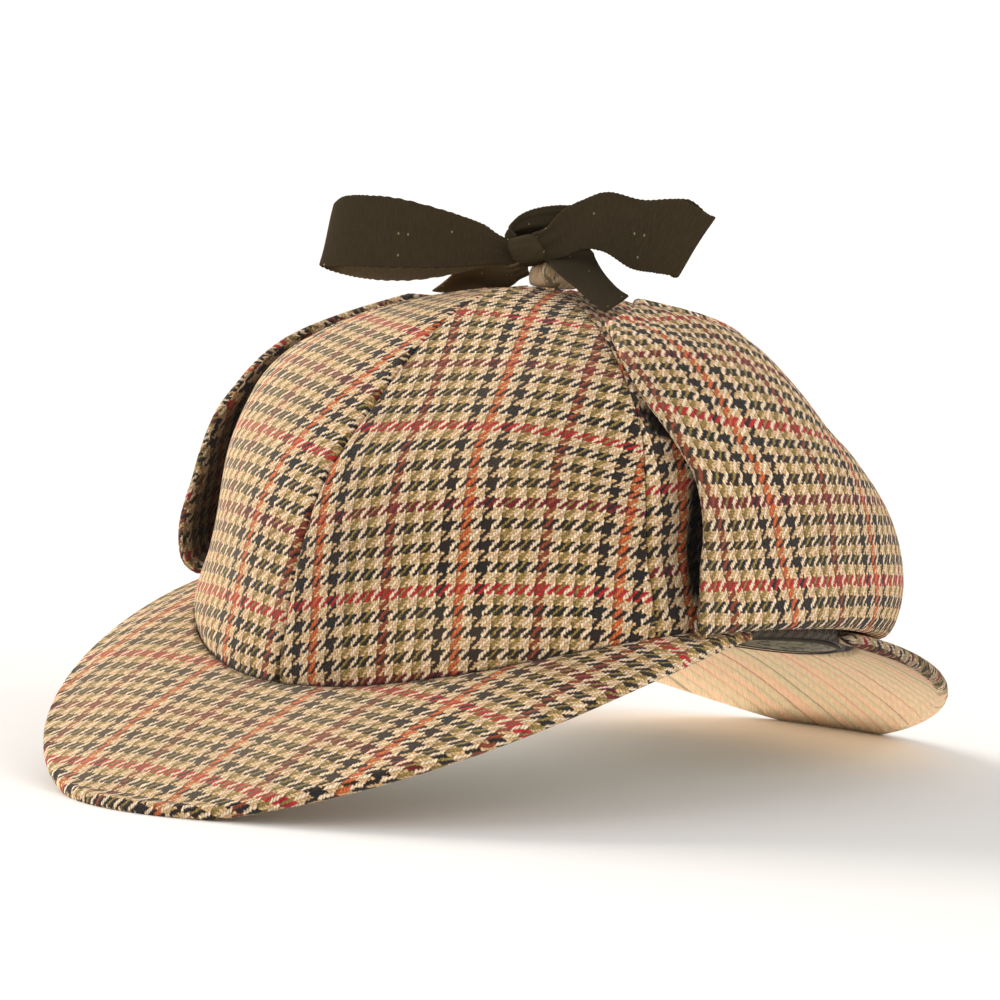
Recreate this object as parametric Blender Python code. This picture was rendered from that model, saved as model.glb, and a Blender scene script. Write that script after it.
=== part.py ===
"""A deerstalker hat of checked tweed, its ear flaps folded up and tied with a ribbon bow on top.

Blender 4.5, metres, +Z up. The front of the hat is at -Y and the wearer's left at +X. The hat
rests on the lowest stretches of its two peaks, at Z = 0.

The crown is one dome function, crown_point(phi, theta). phi runs round the head from 0 at the
front through 90 degrees at the wearer's left; theta runs from 0 at the crown's base line to 90
degrees at the apex. Gores, lining, binding, flaps and tie straps are all laid out on it.
"""

import math

import bpy
from mathutils import Matrix, Vector

MM = 0.001

# Crown: an oval dome whose base line dips at the front and the back and rises over the ears.
CROWN_HALF_LENGTH = 102 * MM
CROWN_HALF_WIDTH = 90 * MM
CROWN_ROUNDNESS = 1.9  # exponent of the base oval, 2 for an ellipse
FRONT_DIP = 26.5 * MM
BACK_DIP = 11.5 * MM
CROWN_RISE = 86 * MM  # from the base line over the ears to the apex
APEX = Vector((0.5 * MM, -4.0 * MM))
LEAN = math.radians(4.2)  # the hat tips back this much as it rests on its peaks
HAT_LIFT = 49.1 * MM  # the base line over the ears stands this far above the floor
HAT_CENTRE = Vector((1.2 * MM, 10.6 * MM))  # puts the whole hat's box over the origin

# How full the dome is at each theta, as a share of the plain quarter ellipse. The side's column
# turns into the back's over BACK_REACH behind the ears.
BACK_REACH = math.radians(45)
DOME_ROWS = (
    # theta, front, side, back
    (0, 1.00, 1.00, 1.00),
    (15, 1.01, 0.98, 0.99),
    (30, 1.02, 1.11, 0.95),
    (45, 0.98, 1.24, 0.93),
    (60, 1.00, 1.19, 1.01),
    (75, 1.10, 1.02, 1.04),
    (90, 1.07, 0.93, 1.04),
)

GAP = 0.3 * MM  # between pieces that touch
CROWN_WALL = 2.4 * MM
GORE_STEPS = 9
LINING_WALL = 1.0 * MM
LINING_GAP = 1.0 * MM  # the lining hangs a little free of the gores
ROUND_STEPS = 36  # of the lining and the binding
BINDING_WALL = 1.2 * MM
SKIRT = 3 * MM  # of the crown, below the base line, behind the peaks
GORE_TIP_THETA = 86.5  # the gores end round a small hole, which the button covers
SEAMS_AT_BASE = (0, 65.5, 122, 180, 238, 294.5, 360)
SEAMS_AT_TOP = (0, 60, 120, 180, 240, 300, 360)
GORE_NAMES = (
    "gore_front_left",
    "gore_side_left",
    "gore_back_left",
    "gore_back_right",
    "gore_side_right",
    "gore_front_right",
)

BINDING_TOP_THETA = 2.4
BINDING_DROP = 1.0 * MM  # below the skirt

# Peaks: stiffened crescents, two layers of tweed with a rolled rim.
PEAK_WALL = 4.0 * MM
PEAK_CAMBER = 2.0 * MM
PEAK_STEPS = 32
PEAK_FLAT_STEPS = (0, 0.25, 0.5, 0.75)  # rows of points, as shares of the flat part
PEAK_RIM_STEPS = (0.0, 0.35, 0.7, 0.92, 1.0)  # and of the rounded rim's depth
PEAK_LEAST_FLAT = 0.4  # of the width, where a narrow end is nearly all rim
RIM_BLUNTNESS = 0.12  # the rim's outermost height, as a share of the wall
MIDDLE_SOFTNESS = 0.05  # how softly width and slope turn over at a peak's middle
SETTLE = 1.0 * MM  # how softly a peak bends where it meets the floor
SQUASH = 0.8 * MM  # how much thinner its wall is where it rests
PEAKS = {
    # name: middle and end as phi, width, exponents of the taper, slope at the end with the smaller
    # phi, in the middle and at the other end
    "front_peak": dict(
        middle=0, reach=83.8, width=69.5 * MM, taper=(1.10, 1.29), slopes=(21.4, 30.6, 20.2)
    ),
    "back_peak": dict(
        middle=180, reach=70.3, width=53.6 * MM, taper=(0.97, 0.87), slopes=(6.0, 30.6, 24.0)
    ),
}

# Ear flaps: folded up outside the crown. Each row is one level from the bottom fold to the tip.
FLAP_WALL = 3.5 * MM
FLAP_STEPS = 10
FLAP_MORE_LEVELS = [0.25, 0.39, 0.65, 0.92]  # rows of points between the table's
LEFT_FLAP_ROWS = (
    # level, front phi, front theta, back phi, back theta, stand-off of the middle surface in mm
    (0.00, 71.3, 1.9, 147, 3.1, 2.2),
    (0.04, 71.0, 0.3, 147.5, 1.5, 5.0),
    (0.09, 70.6, 2.0, 148.5, 3.5, 7.8),
    (0.18, 70.2, 8.6, 150, 9.8, 10.8),
    (0.32, 70.2, 19.0, 150, 20.6, 11.9),
    (0.46, 69.6, 27.5, 147, 32.0, 8.7),
    (0.58, 67.2, 35.5, 140, 41.0, 4.2),
    (0.71, 63.0, 44.5, 130, 50.0, 3.0),
    (0.85, 60.8, 53.5, 113, 61.0, 4.2),
    (1.00, 61.6, 62.5, 89, 72.0, 2.6),
)
RIGHT_FLAP_ROWS = (
    # level, front phi, front theta, back phi, back theta, stand-off of the middle surface in mm
    (0.00, -63.0, 1.9, -143, 5.0, 2.2),
    (0.04, -63.0, 0.9, -143, 4.4, 7.0),
    (0.09, -63.0, 2.6, -143, 6.0, 11.2),
    (0.18, -63.0, 8.8, -143, 11.0, 13.9),
    (0.32, -64.0, 19.0, -143, 20.0, 13.2),
    (0.46, -66.0, 28.0, -140, 30.0, 9.6),
    (0.58, -69.0, 37.0, -135, 38.5, 5.6),
    (0.71, -74.0, 46.0, -128, 47.0, 3.6),
    (0.85, -80.0, 55.0, -121, 56.0, 2.6),
    (1.00, -84.0, 63.0, -115, 63.0, 2.3),
)

# Button of tweed where the gores meet.
BUTTON_RADIUS = 7.0 * MM
BUTTON_HEIGHT = 4.2 * MM
BUTTON_PROFILE = ((1.0, 0.0), (1.0, 0.3), (0.85, 0.7), (0.5, 0.93))  # radius, height
BUTTON_STEPS = 20

# Ribbon: one from each flap's tip, tied in a bow over the button. The bow's rows are measured from
# BOW_ORIGIN, along its length and aside of it towards the front; both are in millimetres.
RIBBON_WALL = 1.0 * MM
RIBBON_SHARES = (-0.5, -0.17, 0.17, 0.5)  # columns of points across its width
BOW_ORIGIN = Vector((0.0, -9.0 * MM, 0.0))
BOW_TURN = math.radians(22)  # from the hat's width
KNOT_CENTRE = Vector((-5.5 * MM, 0.0, 96.0 * MM))
KNOT_HALF = Vector((6.8 * MM, 4.6 * MM, 5.6 * MM))
KNOT_SQUARENESS = 0.8  # exponent of its outline, 1 for an ellipsoid
KNOT_RINGS = 8
KNOT_STEPS = 14

LEFT_LOOP_ROWS = (
    # along, aside, up, width, turn, rise of the ribbon's width
    (-13.2, 1.4, 95.5, 6, 0, 90),
    (-18.0, 3.0, 96.4, 10.5, 0, 90),
    (-28.0, 4.6, 96.9, 16, 0, 90),
    (-42.0, 5.2, 97.4, 19.5, 0, 90),
    (-54.0, 4.2, 97.0, 20.5, 0, 87),
    (-62.0, 2.4, 96.3, 20.5, 0, 82),
    (-64.9, 0.0, 95.8, 20.5, 0, 79),
    (-62.0, -2.8, 94.7, 20.5, 0, 82),
    (-54.0, -4.8, 93.7, 20.5, 0, 87),
    (-42.0, -5.4, 93.8, 19.5, 0, 90),
    (-28.0, -4.6, 94.6, 15, 0, 90),
    (-18.0, -3.0, 95.6, 10.5, 0, 90),
    (-13.2, -1.4, 95.2, 6, 0, 90),
)
RIGHT_LOOP_ROWS = (
    # along, aside, up, width, turn, rise of the ribbon's width
    (1.8, 2.2, 98.2, 7.5, 0, 100),
    (6.5, 3.2, 102.0, 12, 0, 105),
    (12.5, 4.0, 104.8, 14, 0, 98),
    (19.5, 4.8, 106.1, 17, 0, 92),
    (28.5, 5.0, 103.6, 19.5, 0, 84),
    (37.0, 4.0, 103.8, 22, 0, 74),
    (42.5, 2.0, 102.2, 20.5, 0, 64),
    (44.6, 0.0, 101.6, 20, 0, 62),
    (42.0, -2.4, 101.8, 20.5, 0, 65),
    (37.0, -4.2, 104.4, 21, 0, 75),
    (28.0, -5.2, 104.2, 18, 0, 86),
    (19.5, -4.8, 106.0, 15, 0, 92),
    (12.5, -4.2, 106.4, 10, 0, 95),
    (6.5, -3.8, 106.6, 6.5, 0, 90),
    (0.0, -3.0, 106.4, 5.5, 0, 90),
    (-6.0, -2.0, 105.0, 4.8, 0, 80),
    (-9.8, -0.8, 103.4, 4.2, 0, 60),
    (-11.6, 0.4, 101.8, 3.6, 0, 40),
)
LEFT_STRAP_ROWS = (
    # x, y, up, width, turn, rise of the ribbon's width
    (36.4, -17.8, 83.8, 23, -115, 12),
    (28.5, -15.6, 86.6, 22, -112, 11),
    (21.0, -12.8, 89.8, 19, -105, 10),
    (12.6, -9.4, 93.2, 15, -92, 13),
    (7.0, -5.6, 94.6, 11, -75, 16),
    (2.0, -3.4, 95.6, 7, -60, 30),
)
RIGHT_STRAP_ROWS = (
    # x, y, up, width, turn, rise of the ribbon's width
    (-44.6, 4.6, 81.6, 23, 80, 0),
    (-38.0, 2.0, 84.6, 22, 78, 4),
    (-31.0, -0.8, 86.6, 20, 76, 14),
    (-23.0, -4.0, 87.8, 16, 74, 26),
    (-15.0, -7.0, 88.4, 10, 70, 30),
    (-9.0, -10.0, 88.7, 7, 66, 20),
)

# How far apart the points stand from which directions on a surface are taken.
ANGLE_STEP = 0.002  # radians round the crown, or a share of a peak's reach
ALONG_STEP = 0.2 * MM
LEVEL_STEP = 0.004  # of a flap's levels
ACROSS_STEP = 0.01  # of a flap's width
PLACE_STEP = 0.02  # of a ribbon's rows

COLOURS = {
    # material: colour, roughness
    "tweed": ((0.42, 0.30, 0.20), 0.95),
    "satin": ((0.21, 0.20, 0.17), 0.45),
    "binding": ((0.035, 0.028, 0.022), 0.9),
    "ribbon": ((0.035, 0.028, 0.020), 0.85),
}


def spread(first, last, steps):
    return [first + (last - first) * i / steps for i in range(steps + 1)]


# The rows of theta that gores and lining share, with None for the skirt's lower edge.
CROWN_LEVELS = [None] + spread(0, 60, 6) + spread(70, GORE_TIP_THETA, 2)


def clear_scene():
    for old in list(bpy.data.objects):
        bpy.data.objects.remove(old, do_unlink=True)


def column(rows, index, at):
    """The smooth value of a table's column where its first column reads at."""
    last = len(rows) - 1
    i = max(0, min(last - 1, sum(row[0] <= at for row in rows) - 1))
    x0, x1 = rows[i][0], rows[i + 1][0]
    y0, y1 = rows[i][index], rows[i + 1][index]

    def slope(k):
        lower, upper = rows[max(k - 1, 0)], rows[min(k + 1, last)]
        return (upper[index] - lower[index]) / (upper[0] - lower[0])

    t = (at - x0) / (x1 - x0)
    h = x1 - x0
    return (
        y0 * (1 + 2 * t) * (1 - t) ** 2
        + y1 * t * t * (3 - 2 * t)
        + h * slope(i) * t * (1 - t) ** 2
        + h * slope(i + 1) * t * t * (t - 1)
    )


def base_point(phi):
    """The crown's base line, in the hat's own frame with its origin level with the ears."""
    s, c = math.sin(phi), math.cos(phi)
    size = (abs(s) ** CROWN_ROUNDNESS + abs(c) ** CROWN_ROUNDNESS) ** (1 / CROWN_ROUNDNESS)
    dip = (FRONT_DIP if c > 0 else BACK_DIP) * c * c
    return Vector((CROWN_HALF_WIDTH * s / size, -CROWN_HALF_LENGTH * c / size, -dip))


def dome_point(phi, theta):
    base = base_point(phi)
    from_side = min(max(-math.asin(math.cos(phi)) / BACK_REACH, 0), 1)
    front, back = max(math.cos(phi), 0) ** 2, from_side**2 * (3 - 2 * from_side)
    at = max(math.degrees(theta), 0)
    full = (
        column(DOME_ROWS, 1, at) * front
        + column(DOME_ROWS, 2, at) * (1 - front - back)
        + column(DOME_ROWS, 3, at) * back
    )
    out, up = math.cos(theta) * full, math.sin(theta)
    return Vector(
        (
            base.x * out + APEX.x * up,
            base.y * out + APEX.y * up,
            base.z * (1 - up) + CROWN_RISE * up,
        )
    )


def crown_point(phi, theta, out=0.0):
    """A point of the dome moved out along its normal. Angles are in degrees."""
    a, b = math.radians(phi), math.radians(theta)
    step = ANGLE_STEP
    b_inside = min(b, math.pi / 2 - 2 * step)
    round_head = dome_point(a + step, b_inside) - dome_point(a - step, b_inside)
    upward = dome_point(a, b_inside + step) - dome_point(a, b_inside - step)
    normal = round_head.cross(upward).normalized()
    return dome_point(a, b) + normal * out


def placed(point):
    """From the hat's own frame to where it rests on the floor."""
    leaned = Matrix.Rotation(-LEAN, 3, "X") @ point
    return leaned + Vector((HAT_CENTRE.x, HAT_CENTRE.y, HAT_LIFT))


def material(name):
    found = bpy.data.materials.get(name)
    if found:
        return found
    colour, roughness = COLOURS[name]
    made = bpy.data.materials.new(name)
    made.use_nodes = True
    shader = made.node_tree.nodes["Principled BSDF"]
    shader.inputs["Base Color"].default_value = (*colour, 1)
    shader.inputs["Roughness"].default_value = roughness
    shader.inputs["Metallic"].default_value = 0
    return made


def make_object(name, points, faces, material_name):
    mesh = bpy.data.meshes.new(name)
    mesh.from_pydata([tuple(p) for p in points], [], faces)
    mesh.validate()
    mesh.materials.append(material(material_name))
    mesh.shade_smooth()
    mesh.set_sharp_from_angle(angle=math.radians(50))
    bpy.context.scene.collection.objects.link(bpy.data.objects.new(name, mesh))


def closed_sheet(name, outer, inner, material_name, ring=False):
    """A solid between two grids of points, each a list of rows. Rows run counter-clockwise round the
    outside when seen from above, and the next row lies above. With ring, each row closes on itself."""
    rows, columns = len(outer), len(outer[0])
    points = [p for row in outer for p in row] + [p for row in inner for p in row]
    half = rows * columns
    across = columns if ring else columns - 1

    def at(side, r, c):
        return side * half + r * columns + c % columns

    faces = []
    for r in range(rows - 1):
        for c in range(across):
            quad = [at(0, r, c), at(0, r, c + 1), at(0, r + 1, c + 1), at(0, r + 1, c)]
            faces += [quad, [k + half for k in reversed(quad)]]
    for c in range(across):
        faces.append([at(0, 0, c + 1), at(0, 0, c), at(1, 0, c), at(1, 0, c + 1)])
        top = rows - 1
        faces.append([at(0, top, c), at(0, top, c + 1), at(1, top, c + 1), at(1, top, c)])
    if not ring:
        for r in range(rows - 1):
            faces.append([at(0, r, 0), at(0, r + 1, 0), at(1, r + 1, 0), at(1, r, 0)])
            end = columns - 1
            faces.append([at(0, r + 1, end), at(0, r, end), at(1, r, end), at(1, r + 1, end)])
    make_object(name, points, faces, material_name)


def below_base(point, drop):
    """The crown's wall goes straight down below its base line."""
    return point - Vector((0, 0, drop))


def gore(index):
    """One of the crown's six cloth panels, between two seams."""
    outer, inner = [], []
    for theta in CROWN_LEVELS:
        up = math.sin(math.radians(theta or 0))
        ends = [
            base * (1 - up) + top * up
            for base, top in zip(
                SEAMS_AT_BASE[index : index + 2], SEAMS_AT_TOP[index : index + 2], strict=True
            )
        ]
        middle = crown_point(sum(ends) / 2, theta or 0, -CROWN_WALL)
        radius = math.hypot(middle.x - APEX.x * up, middle.y - APEX.y * up)
        trim = math.degrees(GAP / 2 / radius)
        drop = SKIRT if theta is None else 0
        phis = spread(ends[0] + trim, ends[1] - trim, GORE_STEPS)
        for grid, out in ((outer, 0), (inner, -CROWN_WALL)):
            grid.append([placed(below_base(crown_point(p, theta or 0, out), drop)) for p in phis])
    closed_sheet(GORE_NAMES[index], outer, inner, "tweed")


def lining():
    """A satin dome inside the gores, open below."""
    depth = CROWN_WALL + LINING_GAP
    outer, inner = [], []
    phis = spread(0, 360, ROUND_STEPS)[:-1]
    for theta in CROWN_LEVELS:
        drop = SKIRT if theta is None else 0
        for grid, out in ((outer, -depth), (inner, -depth - LINING_WALL)):
            grid.append([placed(below_base(crown_point(p, theta or 0, out), drop)) for p in phis])
    closed_sheet("lining", outer, inner, "satin", ring=True)


def rim_binding():
    """A dark tape round the inside of the crown's lower edge."""
    depth = CROWN_WALL + LINING_GAP + LINING_WALL + 2 * GAP
    phis = spread(0, 360, ROUND_STEPS)[:-1]
    outer, inner = [], []
    for theta, drop in ((0, SKIRT + BINDING_DROP), (0, 0), (BINDING_TOP_THETA, 0)):
        for grid, out in ((outer, -depth), (inner, -depth - BINDING_WALL)):
            grid.append([placed(below_base(crown_point(p, theta, out), drop)) for p in phis])
    closed_sheet("rim_binding", outer, inner, "binding", ring=True)


def from_middle(share):
    """The size of a share, smooth where it passes zero."""
    return math.hypot(share, MIDDLE_SOFTNESS) - MIDDLE_SOFTNESS


def peak_width(peak, share):
    """The peak's width at a share, -1 to 1, of its reach round the head."""
    inner, outer = peak["taper"]
    return peak["width"] * (1 - from_middle(share) ** inner) ** outer


def peak_middle(peak, share, along):
    """A point of the peak's middle surface, placed on the floor. along is metres from the root."""
    phi = math.radians(peak["middle"] + peak["reach"] * share)
    root = base_point(phi)
    tangent = base_point(phi + ANGLE_STEP) - base_point(phi - ANGLE_STEP)
    outward = Vector((tangent.y, -tangent.x, 0)).normalized()
    width = peak_width(peak, share)
    steep, end = peak["slopes"][1], peak["slopes"][2 if share > 0 else 0]
    slope = math.radians(steep + (end - steep) * from_middle(share))
    part = along / width
    camber = PEAK_CAMBER * 4 * part * (1 - part) * width / peak["width"]
    point = root + outward * (GAP + along * math.cos(slope))
    point.z += camber - along * math.sin(slope) - PEAK_WALL / 2
    point = placed(point)
    rest = PEAK_WALL / 2 - SQUASH
    over = point.z - rest
    point.z = rest + (over + math.sqrt(over * over + SETTLE * SETTLE)) / 2
    return point


def peak(name):
    """A crescent with a rounded rim, flat where it rests."""
    shape = PEAKS[name]
    half = PEAK_WALL / 2
    outer, inner = [], []
    shares = [0.6 * a + 0.4 * math.sin(a * math.pi / 2) for a in spread(-1, 1, PEAK_STEPS)]
    rows = []
    for share in shares:
        width = peak_width(shape, share)
        flat = max(width - half, width * PEAK_LEAST_FLAT)
        alongs = [flat * f for f in PEAK_FLAT_STEPS]
        alongs += [flat + (width - flat) * f for f in PEAK_RIM_STEPS]
        row = []
        for along in alongs:
            here = peak_middle(shape, share, along)
            outward = peak_middle(shape, share, along + ALONG_STEP)
            outward -= peak_middle(shape, share, along - ALONG_STEP)
            aside = peak_middle(shape, share + ANGLE_STEP, along)
            aside -= peak_middle(shape, share - ANGLE_STEP, along)
            normal = aside.cross(outward).normalized()
            normal = -normal if normal.z < 0 else normal
            lean = min(along / (3 * half), 1)
            normal = (Vector((0, 0, 1)) * (1 - lean) + normal * lean).normalized()
            round_off = (along - flat) / (width - flat) if along > flat else 0
            thick = half * max(math.sqrt(1 - round_off**2), RIM_BLUNTNESS)
            row.append((here + normal * thick, here - normal * thick))
        rows.append(row)
    for k in range(len(rows[0])):
        outer.append([row[k][0] for row in rows])
        inner.append([row[k][1] for row in rows])
    for grid in (outer, inner):
        for line in grid:
            for p in line:
                p.z = max(p.z, 0)
    closed_sheet(name, inner, outer, "tweed")


def flap_point(rows, level, across, out):
    """A point of an ear flap. across runs from 0 at its front edge to 1 at its back edge."""
    front = column(rows, 1, level), column(rows, 2, level)
    back = column(rows, 3, level), column(rows, 4, level)
    phi = front[0] + (back[0] - front[0]) * across
    theta = front[1] + (back[1] - front[1]) * across
    bulge = column(rows, 5, level) * MM
    return crown_point(phi, theta, bulge + out)


def ear_flap(name, rows):
    levels = sorted([row[0] for row in rows] + FLAP_MORE_LEVELS)
    outer, inner = [], []
    for level in levels:
        for grid, side in ((outer, 0.5), (inner, -0.5)):
            line = []
            for across in spread(0, 1, FLAP_STEPS):
                here = flap_point(rows, level, across, 0)
                upward = flap_point(rows, min(level + LEVEL_STEP, 1), across, 0)
                upward -= flap_point(rows, max(level - LEVEL_STEP, 0), across, 0)
                aside = flap_point(rows, level, across + ACROSS_STEP, 0)
                aside -= flap_point(rows, level, across - ACROSS_STEP, 0)
                normal = aside.cross(upward).normalized()
                if rows[0][1] < 0:
                    normal = -normal
                line.append(placed(here + normal * side * FLAP_WALL))
            grid.append(line)
    if rows[0][1] < 0:
        outer, inner = inner, outer
    closed_sheet(name, outer, inner, "tweed")


def button():
    """A low dome over the hole where the gores meet."""
    steps = BUTTON_STEPS
    floor = crown_point(0, 90).z + GAP
    points, faces = [], []
    for radius, height in BUTTON_PROFILE:
        for angle in spread(0, 2 * math.pi, steps)[:-1]:
            x = APEX.x + BUTTON_RADIUS * radius * math.cos(angle)
            y = APEX.y + BUTTON_RADIUS * radius * math.sin(angle)
            points.append(placed(Vector((x, y, floor + BUTTON_HEIGHT * height))))
    for ring in range(len(BUTTON_PROFILE) - 1):
        for i in range(steps):
            low, high = ring * steps, (ring + 1) * steps
            j = (i + 1) % steps
            faces.append([low + i, low + j, high + j, high + i])
    faces.append(list(range(steps))[::-1])
    points.append(placed(Vector((APEX.x, APEX.y, floor + BUTTON_HEIGHT))))
    last = (len(BUTTON_PROFILE) - 1) * steps
    faces += [[last + i, last + (i + 1) % steps, len(points) - 1] for i in range(steps)]
    make_object("top_button", points, faces, "tweed")


def bow_point(along, aside, up):
    turn = Matrix.Rotation(BOW_TURN, 3, "Z")
    return BOW_ORIGIN + turn @ Vector((along, -aside, up))


def knot():
    """The bow's knot, a plump block with soft corners."""
    rings, steps = KNOT_RINGS, KNOT_STEPS
    points, faces = [], []

    def swell(value):
        return math.copysign(abs(value) ** KNOT_SQUARENESS, value)

    for ring in range(1, rings):
        polar = math.pi * ring / rings
        for angle in spread(0, 2 * math.pi, steps)[:-1]:
            points.append(
                bow_point(
                    KNOT_CENTRE.x + KNOT_HALF.x * swell(math.cos(polar)),
                    KNOT_CENTRE.y + KNOT_HALF.y * swell(math.sin(polar)) * swell(math.cos(angle)),
                    KNOT_CENTRE.z + KNOT_HALF.z * swell(math.sin(polar)) * swell(math.sin(angle)),
                )
            )
    for ring in range(rings - 2):
        for i in range(steps):
            j = (i + 1) % steps
            low, high = ring * steps, (ring + 1) * steps
            faces.append([low + i, low + j, high + j, high + i])
    for end, ring in ((1, 0), (-1, rings - 2)):
        tip = len(points)
        points.append(bow_point(KNOT_CENTRE.x + end * KNOT_HALF.x, KNOT_CENTRE.y, KNOT_CENTRE.z))
        for i in range(steps):
            edge = [ring * steps + i, ring * steps + (i + 1) % steps]
            faces.append([tip, *(reversed(edge) if end > 0 else edge)])
    make_object("bow_knot", [placed(p) for p in points], faces, "ribbon")


def ribbon(name, rows, to_hat):
    """A flat strip through its rows. to_hat takes a row's place to the hat's frame."""
    smooth = [(i, *row) for i, row in enumerate(rows)]
    places = spread(0, len(rows) - 1, 2 * (len(rows) - 1))
    outer, inner = [], []

    def middle(at):
        at = min(max(at, 0), len(rows) - 1)
        return to_hat(*(column(smooth, k, at) * MM for k in (1, 2, 3)))

    start = to_hat(0, 0, 0)
    for at in places:
        width = column(smooth, 4, at) * MM
        turn, rise = (math.radians(column(smooth, k, at)) for k in (5, 6))
        level = math.cos(rise)
        across = to_hat(math.cos(turn) * level, -math.sin(turn) * level, math.sin(rise)) - start
        tangent = middle(at + PLACE_STEP) - middle(at - PLACE_STEP)
        normal = tangent.cross(across).normalized()
        for grid, side in ((outer, 0.5), (inner, -0.5)):
            grid.append(
                [
                    placed(middle(at) + across * width * share + normal * side * RIBBON_WALL)
                    for share in RIBBON_SHARES
                ]
            )
    closed_sheet(name, inner, outer, "ribbon")


def hat_point(x, y, up):
    return Vector((x, y, up))


def main():
    clear_scene()
    for index in range(len(GORE_NAMES)):
        gore(index)
    lining()
    rim_binding()
    for name in PEAKS:
        peak(name)
    ear_flap("ear_flap_left", LEFT_FLAP_ROWS)
    ear_flap("ear_flap_right", RIGHT_FLAP_ROWS)
    button()
    knot()
    ribbon("bow_loop_left", LEFT_LOOP_ROWS, bow_point)
    ribbon("bow_loop_right", RIGHT_LOOP_ROWS, bow_point)
    ribbon("tie_strap_left", LEFT_STRAP_ROWS, hat_point)
    ribbon("tie_strap_right", RIGHT_STRAP_ROWS, hat_point)


main()
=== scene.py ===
"""The deerstalker hat's looks: checked tweed, a satin lining and a tied ribbon, built in mesh code
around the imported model. Metres, +Z up, front of the hat at -Y, wearer's left at +X.

The crown is the dome function of the CAD source: phi runs round the head from 0 at the front through
90 degrees at the wearer's left, theta from 0 at the base line to 90 at the apex.
"""

import math

import bmesh
import bpy
import numpy as np
from mathutils import Matrix, Vector


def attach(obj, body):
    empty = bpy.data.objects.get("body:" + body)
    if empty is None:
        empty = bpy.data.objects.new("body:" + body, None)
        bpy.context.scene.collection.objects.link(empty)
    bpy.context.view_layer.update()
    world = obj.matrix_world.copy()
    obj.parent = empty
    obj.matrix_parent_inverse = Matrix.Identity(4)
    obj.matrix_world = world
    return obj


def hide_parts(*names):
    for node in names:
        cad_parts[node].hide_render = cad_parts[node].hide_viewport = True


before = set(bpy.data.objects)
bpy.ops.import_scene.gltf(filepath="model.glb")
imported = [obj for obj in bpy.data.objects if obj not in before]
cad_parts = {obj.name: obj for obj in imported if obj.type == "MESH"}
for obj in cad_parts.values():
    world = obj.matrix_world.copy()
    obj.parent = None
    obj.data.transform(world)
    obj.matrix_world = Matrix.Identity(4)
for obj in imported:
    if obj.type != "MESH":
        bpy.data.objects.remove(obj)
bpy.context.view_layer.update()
MM = 0.001

# ---------------- the CAD source's dimensions
CROWN_HALF_LENGTH = 102 * MM
CROWN_HALF_WIDTH = 90 * MM
CROWN_ROUNDNESS = 1.9
FRONT_DIP = 26.5 * MM
BACK_DIP = 11.5 * MM
CROWN_RISE = 86 * MM
APEX = (0.5 * MM, -4.0 * MM)
LEAN = math.radians(4.2)
HAT_LIFT = 49.1 * MM
HAT_CENTRE = (1.2 * MM, 10.6 * MM)
BACK_REACH = math.radians(45)
DOME_ROWS = (
    # theta, front, side, back
    (0, 1, 1, 1),
    (15, 1.01, 0.98, 0.99),
    (30, 1.02, 1.11, 0.95),
    (45, 0.98, 1.24, 0.93),
    (60, 1, 1.19, 1.01),
    (75, 1.10, 1.02, 1.04),
    (90, 1.07, 0.93, 1.04),
)
GAP = 0.3 * MM
CROWN_WALL = 2.4 * MM
LINING_WALL = 1.0 * MM
LINING_GAP = 1.0 * MM
SKIRT = 3 * MM
GORE_TIP_THETA = 86.5
SEAMS_AT_BASE = (0, 65.5, 122, 180, 238, 294.5, 360)
SEAMS_AT_TOP = (0, 60, 120, 180, 240, 300, 360)
GORE_PLACES = ("front", "side", "back")
# Round the head, from the left front to the right front.
GORE_NAMES = [f"gore_{place}_left" for place in GORE_PLACES]
GORE_NAMES += [f"gore_{place}_right" for place in reversed(GORE_PLACES)]
LEFT_FRONT, LEFT_SIDE, RIGHT_FRONT = 0, 1, 5
PEAK_WALL = 4.0 * MM
PEAK_CAMBER = 2.0 * MM
SETTLE = 1.0 * MM
SQUASH = 0.8 * MM
PEAKS = {
    "front_peak": dict(
        middle=0, reach=83.8, width=69.5 * MM, taper=(1.10, 1.29), slopes=(21.4, 30.6, 20.2)
    ),
    "back_peak": dict(
        middle=180, reach=70.3, width=53.6 * MM, taper=(0.97, 0.87), slopes=(6, 30.6, 24)
    ),
}
FLAP_WALL = 3.5 * MM
# Each flap's rows: level, front phi, front theta, back phi, back theta, and how far the middle surface
# stands off the dome, in mm.
LEFT_FLAP_ROWS = (
    (0, 71.3, 1.9, 147, 3.1, 2.2),
    (0.04, 71, 0.3, 147.5, 1.5, 5),
    (0.09, 70.6, 2, 148.5, 3.5, 7.8),
    (0.18, 70.2, 8.6, 150, 9.8, 10.8),
    (0.32, 70.2, 19, 150, 20.6, 11.9),
    (0.46, 69.6, 27.5, 147, 32, 8.7),
    (0.58, 67.2, 35.5, 140, 41, 4.2),
    (0.71, 63, 44.5, 130, 50, 3),
    (0.85, 60.8, 53.5, 113, 61, 4.2),
    (1, 61.6, 62.5, 89, 72, 2.6),
)
RIGHT_FLAP_ROWS = (
    (0, -63, 1.9, -143, 5, 2.2),
    (0.04, -63, 0.9, -143, 4.4, 7),
    (0.09, -63, 2.6, -143, 6, 11.2),
    (0.18, -63, 8.8, -143, 11, 13.9),
    (0.32, -64, 19, -143, 20, 13.2),
    (0.46, -66, 28, -140, 30, 9.6),
    (0.58, -69, 37, -135, 38.5, 5.6),
    (0.71, -74, 46, -128, 47, 3.6),
    (0.85, -80, 55, -121, 56, 2.6),
    (1, -84, 63, -115, 63, 2.3),
)
BUTTON_RADIUS = 6.6 * MM
BUTTON_RISE = 7.4 * MM
RIBBON_WALL = 0.8 * MM
BOW_ORIGIN = (0, -9.0 * MM, 0)
BOW_TURN = math.radians(22)
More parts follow.
